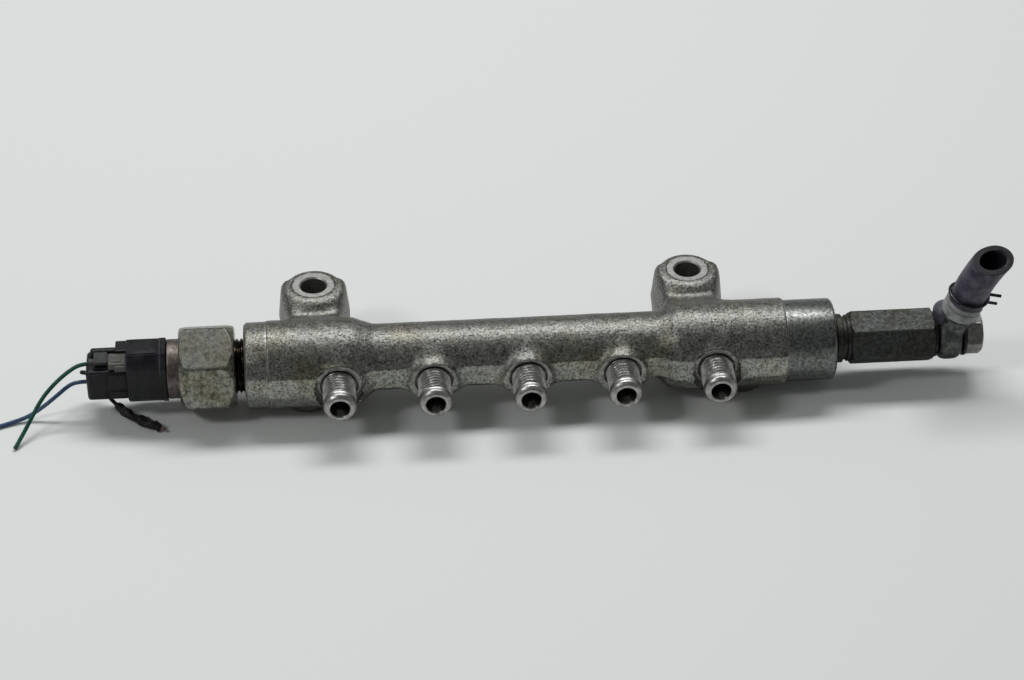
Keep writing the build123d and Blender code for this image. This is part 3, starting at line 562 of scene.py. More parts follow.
def limiter_pieces():
    """Limiter housing, with its neck and long hexagon, the banjo's two washers, and the bolt's head and shank."""
    shell = Shell()
    neck = eased([(108.0, 7.0), (108.0, 8.2), (113.2, 8.2), (113.3, 8.9), (115.5, 8.9), (115.7, 7.9),
                  (116.9, 7.9), (117.1, 8.5), (118.9, 8.5), (118.9, 7.5)], 0.12)
    shell.rings(about_x(stations(neck, 0.5)))
    (x0, x1), flat = limiter_hex, limiter_flat
    middle = [stations([(x0 + 0.1, flat), (x0 + 1.3, flat)], 0.1),
              stations([(x0 + 2.0, flat), (x1 - 2.0, flat)], 1.0),
              stations([(x1 - 1.3, flat), (x1 - 0.1, flat)], 0.1)]
    shell.rings(hexagon_rings(limiter_hex, flat, (6.0, 6.0), middle, 192, -46.5, (1.2, 1.0)))
    shell.piece("limiter_housing", "limiter_steel", ("limiter_body",), 24)
    thick, washer_bore_r, washer_r = 1.2, 5.2, 8.3
    for name, node, a in (("inner_washer", "banjo_washer_inner", limiter_hex[1]),
                          ("outer_washer", "banjo_washer_outer", ring_span[1])):
        profile = eased([(a, washer_bore_r), (a, washer_r), (a + thick, washer_r), (a + thick, washer_bore_r)], 0.2)
        Shell().rings(about_x(profile, 80), closed_rows=True).piece(name, "washer_metal", (node,))
    bolt = Shell()
    a, b = head_span
    flat, shank_r = 7.0, 4.9
    profile = np.concatenate([[(a, 4.0), (a, 6.7)], stations([(a + 0.1, flat), (b - 0.1, flat)], 0.12),
                              [(b, 6.2), (b, 4.4), (b - 0.7, 3.6), (b - 0.8, 1.0)]])
    bolt.rings(about_x(profile, 192, hexagonal(2 * flat, -60.0, a - 0.3, b + 0.02, 0.5, 1.1)))
    bolt.rings(about_x([(147.0, shank_r), (161.6, shank_r)], 48))
    bolt.piece("bolt_head", "bolt_steel", ("banjo_bolt",), 24)


banjo_r, banjo_half, banjo_bore_r, washer_clear_r = 9.4, 4.75, 5.2, 8.5
root_r, root_reach, stub_r, stub_reach = 6.2, 11.6, 3.7, 22.5


def banjo_field(p):
    """Signed distance of the banjo: a wide ring blended into the leaning root and its plain stub."""
    x, y, z = p[..., 0], p[..., 1], p[..., 2]
    axis_distance = off_axis(y, z)
    ring = blend_cut(axis_distance - banjo_r, np.abs(x - ring_x) - banjo_half, 4.0)
    q = p - np.array([ring_x, 0, 0])
    along = q @ stub
    around = np.sqrt(np.maximum((q * q).sum(axis=-1) - along * along, 0))
    root = blend_cut(around - root_r, np.maximum(-along, along - root_reach), 1.4)
    body = blend_union(ring, np.maximum(root, ring_span[0] - x), 1.2)
    body = blend_union(body, np.maximum(around - stub_r, np.maximum(-along, along - stub_reach)), 0.6)
    clear = np.maximum(ring_span[1] - x, axis_distance - washer_clear_r)
    body = np.maximum(body, -clear)
    return np.maximum(body, banjo_bore_r - axis_distance)


def banjo_ring():
    """The banjo fitting's skin."""
    points, faces = skin_of(banjo_field, (149.3, -11.0, -10.4), (170.5, 10.4, 24.5), 0.4)
    make_piece("banjo_ring", points, faces.tolist(), "fitting_steel", ("banjo_fitting",), 50)


def banjo_knob():
    """Rounded upright boss at the root of the leaning stub."""
    height, radius, edge = 13.2, 4.9, 2.6
    bend = np.linspace(0, np.pi / 2, 9)[1:]
    profile = [(4.0, radius - 0.6), (4.2, radius), (height - edge, radius)]
    profile += [(height - edge + edge * np.sin(t), radius - edge * (1 - np.cos(t))) for t in bend]
    knob = turned_rings(profile, (ring_x - 1.3, 0, 0), (0, 0, 1), (1, 0, 0), 72)
    Shell().rings(knob).piece("banjo_knob", "fitting_steel", ("banjo_fitting",), 50)


def hose_line(s):
    """Centre line of the hose at distances s from its lower end: straight, then an arc to the end's direction."""
    s = np.asarray(s, float)
    turn = np.arccos(stub @ hose_end)
    bend_r = (hose_length - hose_straight) / turn
    side = (hose_end - stub * (stub @ hose_end)) / np.sin(turn)
    base = np.array([ring_x, 0, 0]) + stub * hose_start
    angle = np.clip(s - hose_straight, 0, None) / bend_r
    along = np.minimum(s, hose_straight) + bend_r * np.sin(angle)
    return base + along[..., None] * stub + (bend_r * (1 - np.cos(angle)))[..., None] * side


def hose_rings(s, r, columns=96):
    """Rings of the hose at distances s with radii r, sheared near the end so that the last ones lie in the cut.

    A point's distance is s + share * shift. The share rises from 0 to 1 over the last half of the hose, and the
    shift, -r * (spoke . cut) / (end . cut), is what brings that point into the cut's plane."""
    angle = np.linspace(0, 2 * np.pi, columns, endpoint=False)[None, :]
    across = unit(stub_side - hose_end * (stub_side @ hose_end))
    third = np.cross(hose_end, across)
    spoke = np.cos(angle)[..., None] * across + np.sin(angle)[..., None] * third
    oval = 1 + 0.012 * np.cos(2 * angle) + 0.006 * np.cos(3 * angle + 1)
    r = np.asarray(r, float)[:, None] * oval
    share = np.clip((np.asarray(s, float) / hose_length - 0.45) / 0.55, 0, 1)[:, None]
    shift = -r * (spoke @ hose_cut) / (hose_end @ hose_cut)
    place = np.asarray(s, float)[:, None] + share * shift
    reach = 0.05
    middle = hose_line(place)
    ahead = hose_line(place + reach) - hose_line(place - reach)
    ahead = unit_rows(ahead)
    lean = unit_rows(stub_side - ahead * (ahead @ stub_side)[..., None])
    cross = np.cross(ahead, lean)
    return middle + r[..., None] * (np.cos(angle)[..., None] * lean + np.sin(angle)[..., None] * cross)


def return_hose():
    """Rubber hose stub with an oblique cut, a near-black lining over its bore and cut end that paints the shade in
    the bore, and the swollen, grooved foot.
    """
    length = hose_length
    s = np.concatenate([np.linspace(0.4, length - 0.5, 70),
                        length - 0.5 + 0.5 * np.sin(np.linspace(0.3, np.pi / 2, 5))])
    pinch = np.exp(-((s - 7.4) / 0.9) ** 2) + np.exp(-((s - 10.4) / 0.9) ** 2)
    outer = hose_r - 0.14 * pinch
    lip = np.clip((s - length + 0.5) / 0.5, 0, 1)
    outer = outer - 0.4 * (1 - np.sqrt(1 - lip ** 2 * 0.98))
    inner_s = np.concatenate([length - 0.4 + 0.4 * np.cos(np.linspace(0.2, np.pi / 2, 5)),
                              np.linspace(length - 0.6, 1.0, 26)])
    mouth = np.clip((inner_s - length + 0.4) / 0.4, 0, 1)
    inner = hose_bore_r + 0.4 * (1 - np.sqrt(1 - mouth ** 2 * 0.98))
    grid = np.concatenate([hose_rings(s, outer), hose_rings(inner_s, inner)])
    Shell().rings(grid, closed_rows=True).piece("hose_stub", "hose_rubber", ("return_hose",), 60)
    # Near-black lining: painted shade inside the bore, also laid over the cut end.
    skin = 0.03
    rows = [(length + 0.2, hose_r - 0.25), (length + 0.2, hose_bore_r + 0.1), (length - 0.4, hose_bore_r - skin),
            (12.0, hose_bore_r - skin), (12.0, hose_bore_r + 0.2), (length - 0.5, hose_bore_r + 0.5),
            (length - 0.4, hose_r - 0.6)]
    rows = stations(rows + rows[:1], 0.8)[:-1]
    grid = hose_rings(rows[:, 0], rows[:, 1])
    Shell().rings(grid, closed_rows=True).piece("hose_shade_lining", "hose_rubber", ("return_hose",), 60)
    s = np.linspace(0, swell_length, 64)
    rounding = np.clip(np.minimum(s, swell_length - s) / 0.9, 0, 1)
    groove = np.exp(-((s - 4.0) / 0.4) ** 2)
    outer = swell_r - 0.45 * (1 - np.sqrt(1 - (1 - rounding) ** 2)) - 0.55 * groove
    inner = np.full(2, hose_r - 1.2)
    grid = np.concatenate([hose_rings(s, outer), hose_rings(np.array([swell_length, 0.0]), inner)])
    Shell().rings(grid, closed_rows=True).piece("hose_foot", "hose_rubber", ("return_hose",), 60)


def hose_clamp():
    """Spring-wire clamp: one turn round the hose, with a tang that points towards +X at each end."""
    radius = hose_r + 0.6
    base_height, pitch, tang = 6.5, 4.0, 5.0
    third = np.cross(stub, stub_side)
    turn = np.linspace(0, 2 * np.pi, 90)
    height = base_height + pitch * turn / (2 * np.pi)
    centre = hose_line(np.zeros(1))[0]
    coil = (centre + height[:, None] * stub
            + radius * (np.cos(turn)[:, None] * stub_side + np.sin(turn)[:, None] * third))
    reach = np.linspace(tang, 0.5, 8)[:, None]
    path = np.concatenate([coil[0] + reach * stub_side, coil, coil[-1] + reach[::-1] * stub_side])
    Shell().rings(swept_rings(path, 0.58, stub, 14)).piece("wire_clamp", "clamp_steel", ("hose_clamp",), 60)


# ---------------------------------------------------------------- plug
hood_span, hood_half = (-143.7, -129.6), (8.75, 10.5)
rear_left = -158.3


def rounded_bar(shell, x, y, z, corner, edge, chamfered=False):
    """Adds a bar along X between two corners, its section's corners and its two ends rounded or chamfered."""
    middle = np.array([(y[0] + y[1]) / 2, (z[0] + z[1]) / 2])
    half = np.array([(y[1] - y[0]) / 2, (z[1] - z[0]) / 2])
    corner = min(corner, half.min() * 0.98)
    steps = 2 if chamfered else 7
    turn = np.linspace(0, np.pi / 2, steps)
    sections = []
    bend = np.linspace(0, np.pi / 2, 5)
    ends = [(x[0] + edge * (1 - np.sin(t)), edge * (1 - np.cos(t))) for t in bend[::-1]]
    ends += [(x[1] - edge * (1 - np.sin(t)), edge * (1 - np.cos(t))) for t in bend]
    for station, inset in ends:
        row = []
        for quarter, (sy, sz) in enumerate(((1, 1), (-1, 1), (-1, -1), (1, -1))):
            angle = turn + quarter * np.pi / 2
            centre = middle + (half - corner) * np.array([sy, sz])
            row.append(centre + max(corner - inset, 0.02) * np.stack([np.cos(angle), np.sin(angle)], axis=-1))
        row = np.concatenate(row)
        sections.append(np.column_stack([np.full(len(row), station), row]))
    shell.rings(np.stack(sections))


def plug_pieces():
    """Plug: hood with its lip, lower block, guard rail, latch arm, framed tab and retainer.

    Each bar is given by its limits along x, y and z, its corner and its edge."""
    wide, high = hood_half
    left, right = hood_span
    plug = {
        ("plug_shell", "black_plastic", ("plug_housing",)): [
            ((left, right), (-wide, wide), (-high, high), 4.0, 0.5, True),
            ((right - 1.7, right + 0.1), (-wide - 0.3, wide + 0.2), (-high - 0.3, high + 0.2), 4.2, 0.3, True),
            ((left + 1.0, right - 3.0), (-4.2, 4.2), (high - 0.5, high + 0.35), 0.3, 0.3),
            ((rear_left, left + 0.6), (-6.6, 6.75), (-8.0, 4.7), 1.2, 1.3),
            ((rear_left + 0.8, -151.0), (-6.85, -6.2), (-7.0, 3.9), 0.3, 0.3),
            ((-150.3, left), (-6.95, -6.2), (-3.0, 3.6), 0.3, 0.3),
            ((-150.3, left), (-6.95, -6.2), (-7.2, -3.8), 0.3, 0.3),
            ((-156.9, -147.2), (2.6, 5.6), (4.0, 7.3), 1.2, 1.1),
            ((-156.9, -154.9), (2.3, 5.6), (2.0, 6.6), 0.9, 0.8),
            ((-147.7, left + 0.4), (0.2, 6.7), (3.5, 8.9), 0.6, 0.5),
            ((-155.8, -146.0), (-4.6, 2.3), (4.2, 5.3), 0.3, 0.3)],
        ("plug_latch", "black_plastic", ("plug_housing",)): [
            ((-155.4, -150.5), (-4.4, 2.1), (6.2, 7.6), 0.4, 0.4),
            ((-151.0, -149.6), (-3.6, 1.3), (5.0, 7.2), 0.3, 0.3)],
        # A thin ring round the hood's upper part, in a lighter finish: a painted highlight along the hood's edge.
        ("plug_lip_highlight", "black_plastic", ("plug_housing",)): [
            ((right - 2.25, right - 1.75), (-wide - 0.12, wide + 0.12), (-high * 0.45, high + 0.15),
             4.0, 0.15, True)],
        ("plug_tab", "grey_plastic", ("plug_housing", "plug_retainer")): [
            ((-150.0, left + 0.3), (-6.3, 0.5), (5.4, 7.9), 0.4, 0.4),
            ((-148.9, -145.4), (-4.9, -1.0), (7.6, 8.2), 0.25, 0.2),
            ((-147.8, left + 0.3), (-7.15, -6.0), (4.9, 7.4), 0.4, 0.4)],
    }
    for (name, slot, nodes), bars in plug.items():
        shell = Shell()
        for bar in bars:
            rounded_bar(shell, *bar)
        shell.piece(name, slot, nodes, 30)


# ---------------------------------------------------------------- leads
seal_face = -157.3
green_route = [
    (seal_face, 0, 4.0), (seal_face - 3.3, 0, 4.0), (-165.6, -1.2, 1.2), (-170.6, -3.4, -2.4),
    (-174.8, -6.5, -6.0), (-178.2, -10.6, -10.2), (-181.5, -15.6, -14.2), (-184.5, -20.9, -16.6)]
blue_route = [
    (seal_face, 0, -4.0), (seal_face - 3.3, 0, -4.0), (-164.6, -1.0, -4.0), (-169.8, -2.2, -8.2),
    (-175.2, -3.2, -12.4), (-180.2, -4.2, -15.4), (-185.6, -5.8, -16.5), (-191.5, -8.2, -16.5)]
black_route = [
    (seal_face, 0, 0), (seal_face - 3.2, 0, 0), (-160.3, 4.4, -2.8), (-158.0, 9.0, -8.6),
    (-153.4, 4.6, -11.7), (-150.6, -0.6, -12.6), (-148.6, -2.9, -13.1)]
tape_route = [(-148.6, -2.9, -13.1), (-144.2, -7.96, -14.2), (-138.4, -10.6, -15.3), (-132.6, -14.2, -15.7)]


def smooth_line(route):
    """NURBS spline with the route's points as its control points, in metres."""
    data = bpy.data.curves.new("line", "CURVE")
    data.dimensions = "3D"
    data.resolution_u = 12
    spline = data.splines.new("NURBS")
    spline.points.add(len(route) - 1)
    spline.points.foreach_set("co", np.c_[np.array(route) * MM, np.ones(len(route))].ravel())
    spline.order_u = 3
    spline.use_endpoint_u = True
    return data


def points_along(data):
    """Points of a curve's own line, in millimetres."""
    holder = bpy.data.objects.new("holder", data)
    show(holder)
    bpy.context.view_layer.update()
    mesh = bpy.data.meshes.new_from_object(holder.evaluated_get(bpy.context.evaluated_depsgraph_get()))
    points = np.empty(len(mesh.vertices) * 3)
    mesh.vertices.foreach_get("co", points)
    bpy.data.objects.remove(holder)
    return points.reshape(-1, 3) / MM


def lead(name, node, route):
    """One insulated wire, cut off at its free end."""
    data = smooth_line(route)
    data.bevel_depth = 0.75 * MM
    data.bevel_resolution = 4
    data.use_fill_caps = True
    wire = bpy.data.objects.new(name, data)
    show(wire)
    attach(wire, BODY)
    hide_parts(node)


def tape_wrap():
    """Tape round the black lead, and the bare strands at its end; returns both.

    The tape's radius steps by laps over uneven lumps, and is thin where it starts."""
    line = points_along(smooth_line(tape_route))
    share = np.linspace(0, 1, len(line))
    fine = np.linspace(0, 1, 110)
    path = np.stack([np.interp(fine, share, line[:, a]) for a in range(3)], axis=-1)
    ends = np.clip(np.minimum(fine, 1 - fine) / 0.02, 0, 1)
    swell = (0.80 + 0.20 * np.clip(fine / 0.25, 0, 1) + 0.10 * np.sin(9.0 * fine + 1.0)
             - 0.12 * np.clip(fine - 0.85, 0, 1) / 0.15)

    def ragged(r, angle):
        f = fine[:, None]
        wave = (f * 5.5 - angle / (2 * np.pi)) % 1.0
        lumps = (0.12 * np.sin(2 * angle + 15 * f) + 0.08 * np.sin(5 * angle - 22 * f)
                 + 0.07 * np.sin(31 * f + angle))
        return r * (1.04 - 0.20 * wave) * (1 + lumps)
    rings = swept_rings(path, (0.9 + 0.85 * np.sqrt(ends)) * swell, (0, 0, 1), 32, ragged)
    tape = Shell().rings(rings).piece("tape_wrap", "black_tape", ("wire_tape",), 40)
    end, before = np.array(tape_route[-1]), np.array(tape_route[-2])
    direction = unit(end - before)
    across, third = axes_of(direction, (0, 0, 1))[1:]
    strands = Shell()
    t = np.linspace(0, 1, 12)
    for number in range(7):
        angle = number * 2 * np.pi / 6
        spread = 0.36 * (number < 6)
        offset = spread * (np.cos(angle + 2 * t)[:, None] * across + np.sin(angle + 2 * t)[:, None] * third)
        path = end - 0.4 * direction + (t * (2.2 - 0.3 * (number % 3)))[:, None] * direction + offset
        strands.rings(swept_rings(path, 0.17, (0, 0, 1), 8))
    copper = strands.piece("bare_strands", "bare_copper", ("wire_copper",), 40)
    return tape, copper


# ---------------------------------------------------------------- finishes
def material(name):
    """New node material; returns it with its tree and shader."""
    made = bpy.data.materials.new(name)
    made.use_nodes = True
    tree = made.node_tree
    return made, tree, tree.nodes["Principled BSDF"]


def add_node(tree, kind, inputs):
    """New shader node; each input takes a value, or a link where it is given another node's socket."""
    node = tree.nodes.new(kind)
    for key, value in inputs.items():
        if isinstance(value, bpy.types.NodeSocket):
            tree.links.new(value, node.inputs[key])
        else:
            node.inputs[key].default_value = value
    return node


def object_place(tree, scale=(1, 1, 1)):
    """Object coordinates, stretched."""
    place = tree.nodes.new("ShaderNodeTexCoord").outputs["Object"]
    return add_node(tree, "ShaderNodeMapping", {"Vector": place, "Scale": scale}).outputs["Vector"]


def noise(tree, place, scale, detail=3.0, roughness=0.55):
    """Noise texture's value."""
    look = {"Vector": place, "Scale": scale, "Detail": detail, "Roughness": roughness}
    return add_node(tree, "ShaderNodeTexNoise", look).outputs["Fac"]


def ramp(tree, value, stops):
    """Colour ramp over a value; stops are (place, colour)."""
    node = tree.nodes.new("ShaderNodeValToRGB")
    band = node.color_ramp
    while len(band.elements) < len(stops):
        band.elements.new(0.5)
    for element, (where, colour) in zip(band.elements, stops):
        element.position = where
        element.color = (*colour, 1)
    tree.links.new(value, node.inputs["Fac"])
    return node.outputs["Color"]


def spread(tree, value, low, high, from_low=0.3, from_high=0.7):
    """Value carried from one range to another."""
    ranges = {"Value": value, "From Min": from_low, "From Max": from_high, "To Min": low, "To Max": high}
    return add_node(tree, "ShaderNodeMapRange", ranges).outputs["Result"]


def mix(tree, a, b, share=1.0, mode="MULTIPLY"):
    """Two colours, multiplied or mixed; each may be a socket or a colour, and share a socket or a number."""
    node = tree.nodes.new("ShaderNodeMix")
    node.data_type = "RGBA"
    node.blend_type = mode
    for key, value in ((6, a), (7, b), (0, share)):
        if isinstance(value, bpy.types.NodeSocket):
            tree.links.new(value, node.inputs[key])
        else:
            node.inputs[key].default_value = (*value, 1) if isinstance(value, tuple) else value
    return node.outputs[2]


def bump(tree, shader, heights):
    """Chain of bumps, each (height, strength, depth in metres)."""
    normal = None
    for height, strength, depth in heights:
        node = add_node(tree, "ShaderNodeBump", {"Strength": strength, "Distance": depth, "Height": height})
        if normal is not None:
            tree.links.new(normal, node.inputs["Normal"])
        normal = node.outputs["Normal"]
    tree.links.new(normal, shader.inputs["Normal"])


def set_surface(tree, shader, colour, roughness, metallic=0.0):
    """Gives the shader its colour, roughness and metallic share."""
    tree.links.new(colour, shader.inputs["Base Color"])
    tree.links.new(roughness, shader.inputs["Roughness"])
    shader.inputs["Metallic"].default_value = metallic


def forging_finish(name):
    """Blasted, weathered forging skin: mottled dark grey metal with small pits, dirt and a few yellow stains, and a
    painted reflection that lightens the trimmed flat in front.
    """
    made, tree, shader = material(name)
    place = object_place(tree)
    fine = noise(tree, place, 1250, 5.0, 0.7)
    coarse = noise(tree, place, 420, 4.0, 0.6)
    stain = noise(tree, place, 60, 3.0, 0.5)
    grain = ramp(tree, fine, [(0.37, (0.05, 0.05, 0.045)), (0.47, (0.19, 0.19, 0.175)),
                              (0.66, (0.36, 0.36, 0.34))])
    broad = ramp(tree, coarse, [(0.33, (0.60, 0.60, 0.58)), (0.66, (1.0, 1.0, 1.0))])
    colour = mix(tree, grain, broad)
    yellow = ramp(tree, stain, [(0.52, (1, 1, 1)), (0.72, (0.88, 0.84, 0.70))])
    colour = mix(tree, colour, yellow)
    # Painted reflection: below z = 4.4 mm and in front of y = -11 mm, the trimmed flat's colour is made about 1.75
    # times lighter, standing in for the bright floor it reflects.
    sides = add_node(tree, "ShaderNodeSeparateXYZ", {"Vector": place})
    below, ahead = (
        ramp(tree, spread(tree, sides.outputs[axis], 1.0, 0.0, *limits), [(0, (0, 0, 0)), (1, (1, 1, 1))])
        for axis, limits in (("Z", (0.0042, 0.0046)), ("Y", (-0.0116, -0.0108))))
    trimmed = mix(tree, below, ahead)
    colour = mix(tree, colour, mix(tree, (1.0, 1.0, 1.0), (1.75, 1.78, 1.72), trimmed, "MIX"))
    set_surface(tree, shader, colour, spread(tree, coarse, 0.34, 0.46), 0.85)
    pits = add_node(tree, "ShaderNodeTexVoronoi", {"Vector": place, "Scale": 1300})
    bump(tree, shader, [(coarse, 0.3, 0.0004), (fine, 0.5, 0.00025), (pits.outputs["Distance"], 0.3, 0.00012)])
    return made


def machined_finish(name, bright, dark, stretch, roughness=(0.22, 0.38), stain=(1, 1, 1), stain_at=0.6,
                    pitting=0.35, patches=420):
    """Cut or turned metal: tool marks drawn out along one direction, with fine dull patches and dark specks."""
    made, tree, shader = material(name)
    place = object_place(tree)
    marks = noise(tree, object_place(tree, stretch), 1.0, 3.0, 0.6)
    patch = noise(tree, place, patches, 5.0, 0.68)
    speck = noise(tree, place, 1700, 3.0, 0.6)
    colour = ramp(tree, patch, [(0.36, dark), (0.60, bright)])
    dirt = ramp(tree, speck, [(0.34, (1 - pitting,) * 3), (0.52, (1, 1, 1))])
    colour = mix(tree, colour, dirt)
    tint = ramp(tree, noise(tree, place, 75, 3.0, 0.55), [(stain_at - 0.12, (1, 1, 1)), (stain_at + 0.08, stain)])
    colour = mix(tree, colour, tint)
    set_surface(tree, shader, colour, spread(tree, patch, roughness[1], roughness[0]), 1.0)
    bump(tree, shader, [(marks, 0.25, 0.00005), (speck, 0.25, 0.0001), (patch, 0.2, 0.0001)])
    return made


def moulded_finish(name, colour, dust, roughness, grain=1400, dust_at=0.62):
    """Moulded plastic or rubber: fine grain with dust in patches; on the plug's lip ring the whole lighter finish is
    a painted highlight.
    """
    made, tree, shader = material(name)
    place = object_place(tree)
    patch = noise(tree, place, 230, 4.0, 0.6)
    base = ramp(tree, patch, [(dust_at - 0.15, colour), (dust_at + 0.1, dust)])
    set_surface(tree, shader, base, spread(tree, patch, *roughness))
    shader.inputs["Specular IOR Level"].default_value = 0.22
    bump(tree, shader, [(noise(tree, place, grain, 2.0), 0.25, 0.0001)])
    return made


def dress(finish, names):
    """Gives pieces and CAD nodes one finish on all their faces."""
    for name in names:
        nodes = frame["nodes"]
        data = (nodes[name] if name in nodes else bpy.data.objects[name]).data
        if len(data.materials) == 0:
            data.materials.append(finish)
        for number in range(len(data.materials)):
            data.materials[number] = finish


# ---------------------------------------------------------------- the object
forged_skin()
boss_faces()
outlets()
ear_rings()
end_bands()
sensor_pieces()
limiter_pieces()
banjo_ring()
banjo_knob()
return_hose()
hose_clamp()
plug_pieces()
tape, copper = tape_wrap()
lead("green_lead", "green_wire", green_route)
lead("blue_lead", "blue_wire", blue_route)
lead("black_lead", "black_wire", black_route)

# Each finish is given by its name, what wears it, and then what its function takes.
cut_metals = [
    ("bright_cut", ["boss_faces"], (0.40, 0.40, 0.38), (0.20, 0.195, 0.18), (900, 60, 900), (0.34, 0.5)),
    ("thread_cut", ["outlets"], (0.48, 0.48, 0.46), (0.28, 0.275, 0.26), (900, 900, 900), (0.28, 0.42)),
    ("faced_cut", ["ear_rings"], (0.42, 0.42, 0.40), (0.27, 0.27, 0.25), (900, 900, 60), (0.42, 0.55)),
    # The recess floors are coloured darker than the spot faces: painted shade.
    ("dark_recess", ["boss_recesses"], (0.17, 0.168, 0.155), (0.08, 0.08, 0.07), (900, 900, 900), (0.35, 0.55)),
    # The seat lining is darker than the thread: painted shade inside the bore.
    ("dark_seat", ["outlet_seats"], (0.22, 0.22, 0.21), (0.08, 0.08, 0.075), (900, 900, 900), (0.10, 0.2)),
    ("right_turned", ["right_band"], (0.26, 0.27, 0.26), (0.09, 0.094, 0.088), (1500, 60, 60), (0.32, 0.42),
     (1, 1, 1), 0.6, 0.55, 800),
    ("seam_metal", ["band_seams"], (0.40, 0.40, 0.38), (0.20, 0.20, 0.18), (1500, 60, 60), (0.35, 0.5)),
    ("sensor_metal", ["sensor_housing", "sensor_membrane", "valve_seat", "relief_piston", "limiter_spring",
                      "spring_shim"],
     (0.34, 0.34, 0.305), (0.10, 0.10, 0.084), (1200, 60, 60), (0.26, 0.40), (0.84, 0.81, 0.68), 0.55, 0.5, 560),
    ("wet_thread", ["sensor_thread"], (0.10, 0.085, 0.06), (0.025, 0.02, 0.015), (900, 900, 900), (0.12, 0.3)),
    ("collar_metal", ["rolled_collar", "sensor_seal", "limiter_seal"],
     (0.19, 0.165, 0.15), (0.10, 0.086, 0.076), (1500, 60, 60), (0.4, 0.55)),
    ("limiter_metal", ["limiter_housing"], (0.082, 0.086, 0.084), (0.042, 0.045, 0.04), (60, 700, 700),
     (0.50, 0.64), (0.88, 0.84, 0.72), 0.55, 0.45, 700),
    ("fitting_metal", ["banjo_ring"], (0.14, 0.148, 0.14), (0.055, 0.06, 0.055), (700, 90, 90), (0.34, 0.5)),
    ("bolt_metal", ["bolt_head"], (0.32, 0.32, 0.31), (0.16, 0.16, 0.15), (1200, 60, 60), (0.3, 0.5)),
    ("washer_metal", ["inner_washer", "outer_washer"],
     (0.06, 0.06, 0.06), (0.02, 0.02, 0.02), (900, 60, 60), (0.4, 0.6)),
    ("clamp_metal", ["wire_clamp"], (0.06, 0.06, 0.065), (0.02, 0.02, 0.022), (300, 300, 300), (0.3, 0.5)),
    ("copper_metal", ["bare_strands", "sensor_pins", "plug_sockets"],
     (0.34, 0.21, 0.15), (0.13, 0.08, 0.06), (300, 300, 300), (0.3, 0.5)),
]
mouldings = [
    ("plug_plastic", ["plug_shell", "sensor_connector"],
     (0.006, 0.006, 0.008), (0.016, 0.016, 0.019), (0.30, 0.42), 1400, 0.55),
    # Lighter plastic: dust on the latch, and a painted highlight on the lip ring.
    ("dusty_plastic", ["plug_lip_highlight", "plug_latch"],
     (0.022, 0.023, 0.023), (0.05, 0.052, 0.052), (0.5, 0.65), 1400, 0.5),
    ("dull_plastic", ["plug_tab", "sensor_circuit"],
     (0.065, 0.063, 0.06), (0.11, 0.108, 0.10), (0.5, 0.65), 1400, 0.5),
    ("seal_rubber", ["plug_wire_seals", "plug_ring_seal"], (0.05, 0.05, 0.055), (0.12, 0.12, 0.12), (0.5, 0.65)),
    ("hose_rubber", ["hose_stub"], (0.035, 0.031, 0.05), (0.10, 0.094, 0.122), (0.36, 0.5), 900, 0.55),
    # Near-black lining of the hose: painted shade in the bore, and over the cut end.
    ("bore_rubber", ["hose_shade_lining"], (0.004, 0.004, 0.007), (0.012, 0.011, 0.017), (0.35, 0.5), 900, 0.6),
    ("knob_skin", ["banjo_knob"], (0.04, 0.04, 0.055), (0.09, 0.09, 0.112), (0.4, 0.55), 900, 0.5),
    ("foot_rubber", ["hose_foot"], (0.20, 0.20, 0.205), (0.36, 0.36, 0.36), (0.45, 0.6), 900, 0.5),
    ("green_skin", ["green_lead"], (0.008, 0.062, 0.044), (0.016, 0.10, 0.072), (0.35, 0.5)),
    ("blue_skin", ["blue_lead"], (0.035, 0.075, 0.15), (0.07, 0.12, 0.20), (0.35, 0.5)),
    ("black_skin", ["black_lead", "tape_wrap"], (0.010, 0.010, 0.010), (0.022, 0.022, 0.022), (0.4, 0.5)),
]
dress(forging_finish("forged_skin"), ["forged_skin", "left_band"])
for make_finish, rows in ((machined_finish, cut_metals), (moulded_finish, mouldings)):
    for name, wearers, *look in rows:
        dress(make_finish(name, *look), wearers)

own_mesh(frame["nodes"]["limiter_spring"])

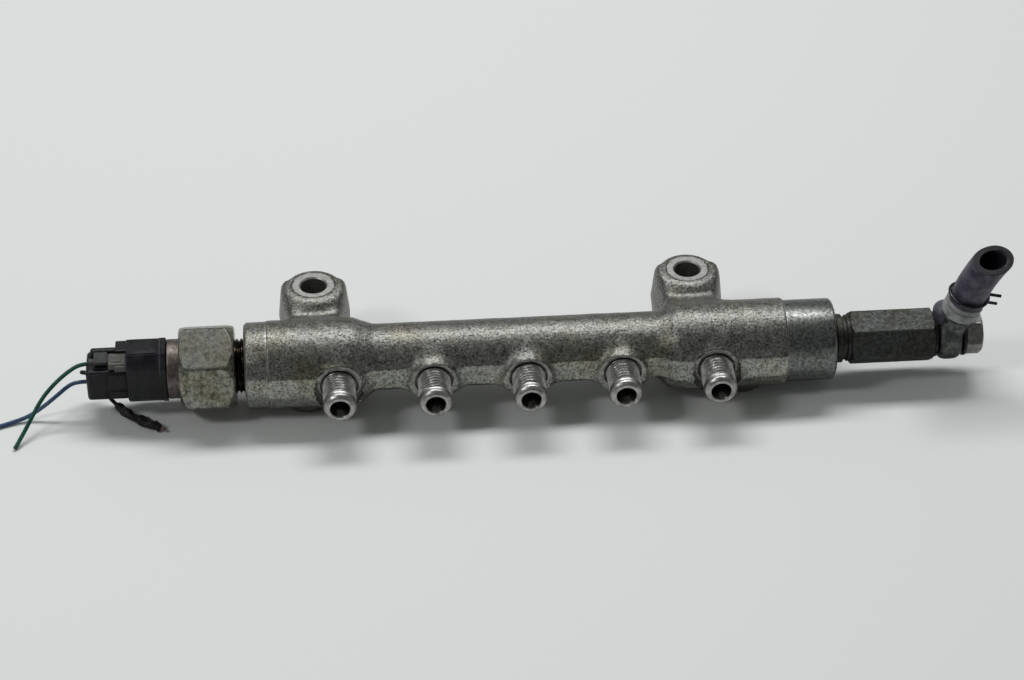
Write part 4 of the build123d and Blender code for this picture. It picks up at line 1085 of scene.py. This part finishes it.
# ---------------------------------------------------------------- floor, light and camera
floor_mesh = bpy.data.meshes.new("floor")
floor_half = 3.0
floor_mesh.from_pydata([(-floor_half, -floor_half, 0), (floor_half, -floor_half, 0), (floor_half, floor_half, 0),
                        (-floor_half, floor_half, 0)], [], [(0, 1, 2, 3)])
floor_mesh.transform(Matrix.Translation((0, 0, (floor_z - 0.02) * MM)))
floor = bpy.data.objects.new("floor", floor_mesh)
show(floor)
floor_paint, _, shader = material("floor_paint")
shader.inputs["Base Color"].default_value = (0.715, 0.73, 0.722, 1)
shader.inputs["Roughness"].default_value = 0.5
floor_mesh.materials.append(floor_paint)


def lamp(name, place, aim, width, depth, power):
    """Soft rectangular lamp that looks at a point."""
    data = bpy.data.lights.new(name, "AREA")
    data.shape = "RECTANGLE"
    data.size, data.size_y, data.energy = width, depth, power
    made = bpy.data.objects.new(name, data)
    place, aim = np.array(place, float), np.array(aim, float)
    away, across, third = axes_of(place - aim, (1, 0, 0.001))
    turn = Matrix([[*row] for row in np.stack([across, third, away], axis=-1)]).to_4x4()
    made.matrix_world = Matrix.Translation(place) @ turn
    show(made)


lamp("ceiling_back", (0.0, 0.55, 1.16), (0, 0, 0), 1.4, 0.26, 13.0)
lamp("ceiling_front", (-0.98, -0.46, 1.04), (0, 0, 0), 0.3, 0.24, 4.0)
world = bpy.data.worlds.new("room")
bpy.context.scene.world = world
world.use_nodes = True
room = world.node_tree
direction = room.nodes.new("ShaderNodeTexCoord").outputs["Generated"]
parts = add_node(room, "ShaderNodeSeparateXYZ", {"Vector": direction})
dim_front = ramp(room, spread(room, parts.outputs["Y"], 0.0, 1.0, -1.0, 1.0),
                 [(0.14, (0.14, 0.145, 0.142)), (0.50, (0.20, 0.206, 0.203)), (0.85, (0.26, 0.268, 0.264))])
room.links.new(dim_front, room.nodes["Background"].inputs["Color"])

swing, height = np.radians(-4.3), np.radians(37.5)
looked_at, distance, raised = np.array([-4.9, 0, 0]), 1017, 4.77
back = np.array([np.sin(swing) * np.cos(height), -np.cos(swing) * np.cos(height), np.sin(height)])
right = np.array([np.cos(swing), np.sin(swing), 0.0])
upward = np.cross(back, right)
eye = looked_at + distance * back + raised * upward
camera_data = bpy.data.cameras.new("camera")
camera_data.sensor_width = 36.0
camera_data.lens = 98.4375
camera_data.clip_start = 0.01
camera = bpy.data.objects.new("camera", camera_data)
camera.matrix_world = (Matrix.Translation(eye * MM)
                       @ Matrix([[*row] for row in np.stack([right, upward, back], axis=-1)]).to_4x4())
show(camera)
bpy.context.scene.camera = camera
bpy.context.scene.view_settings.view_transform = "Standard"
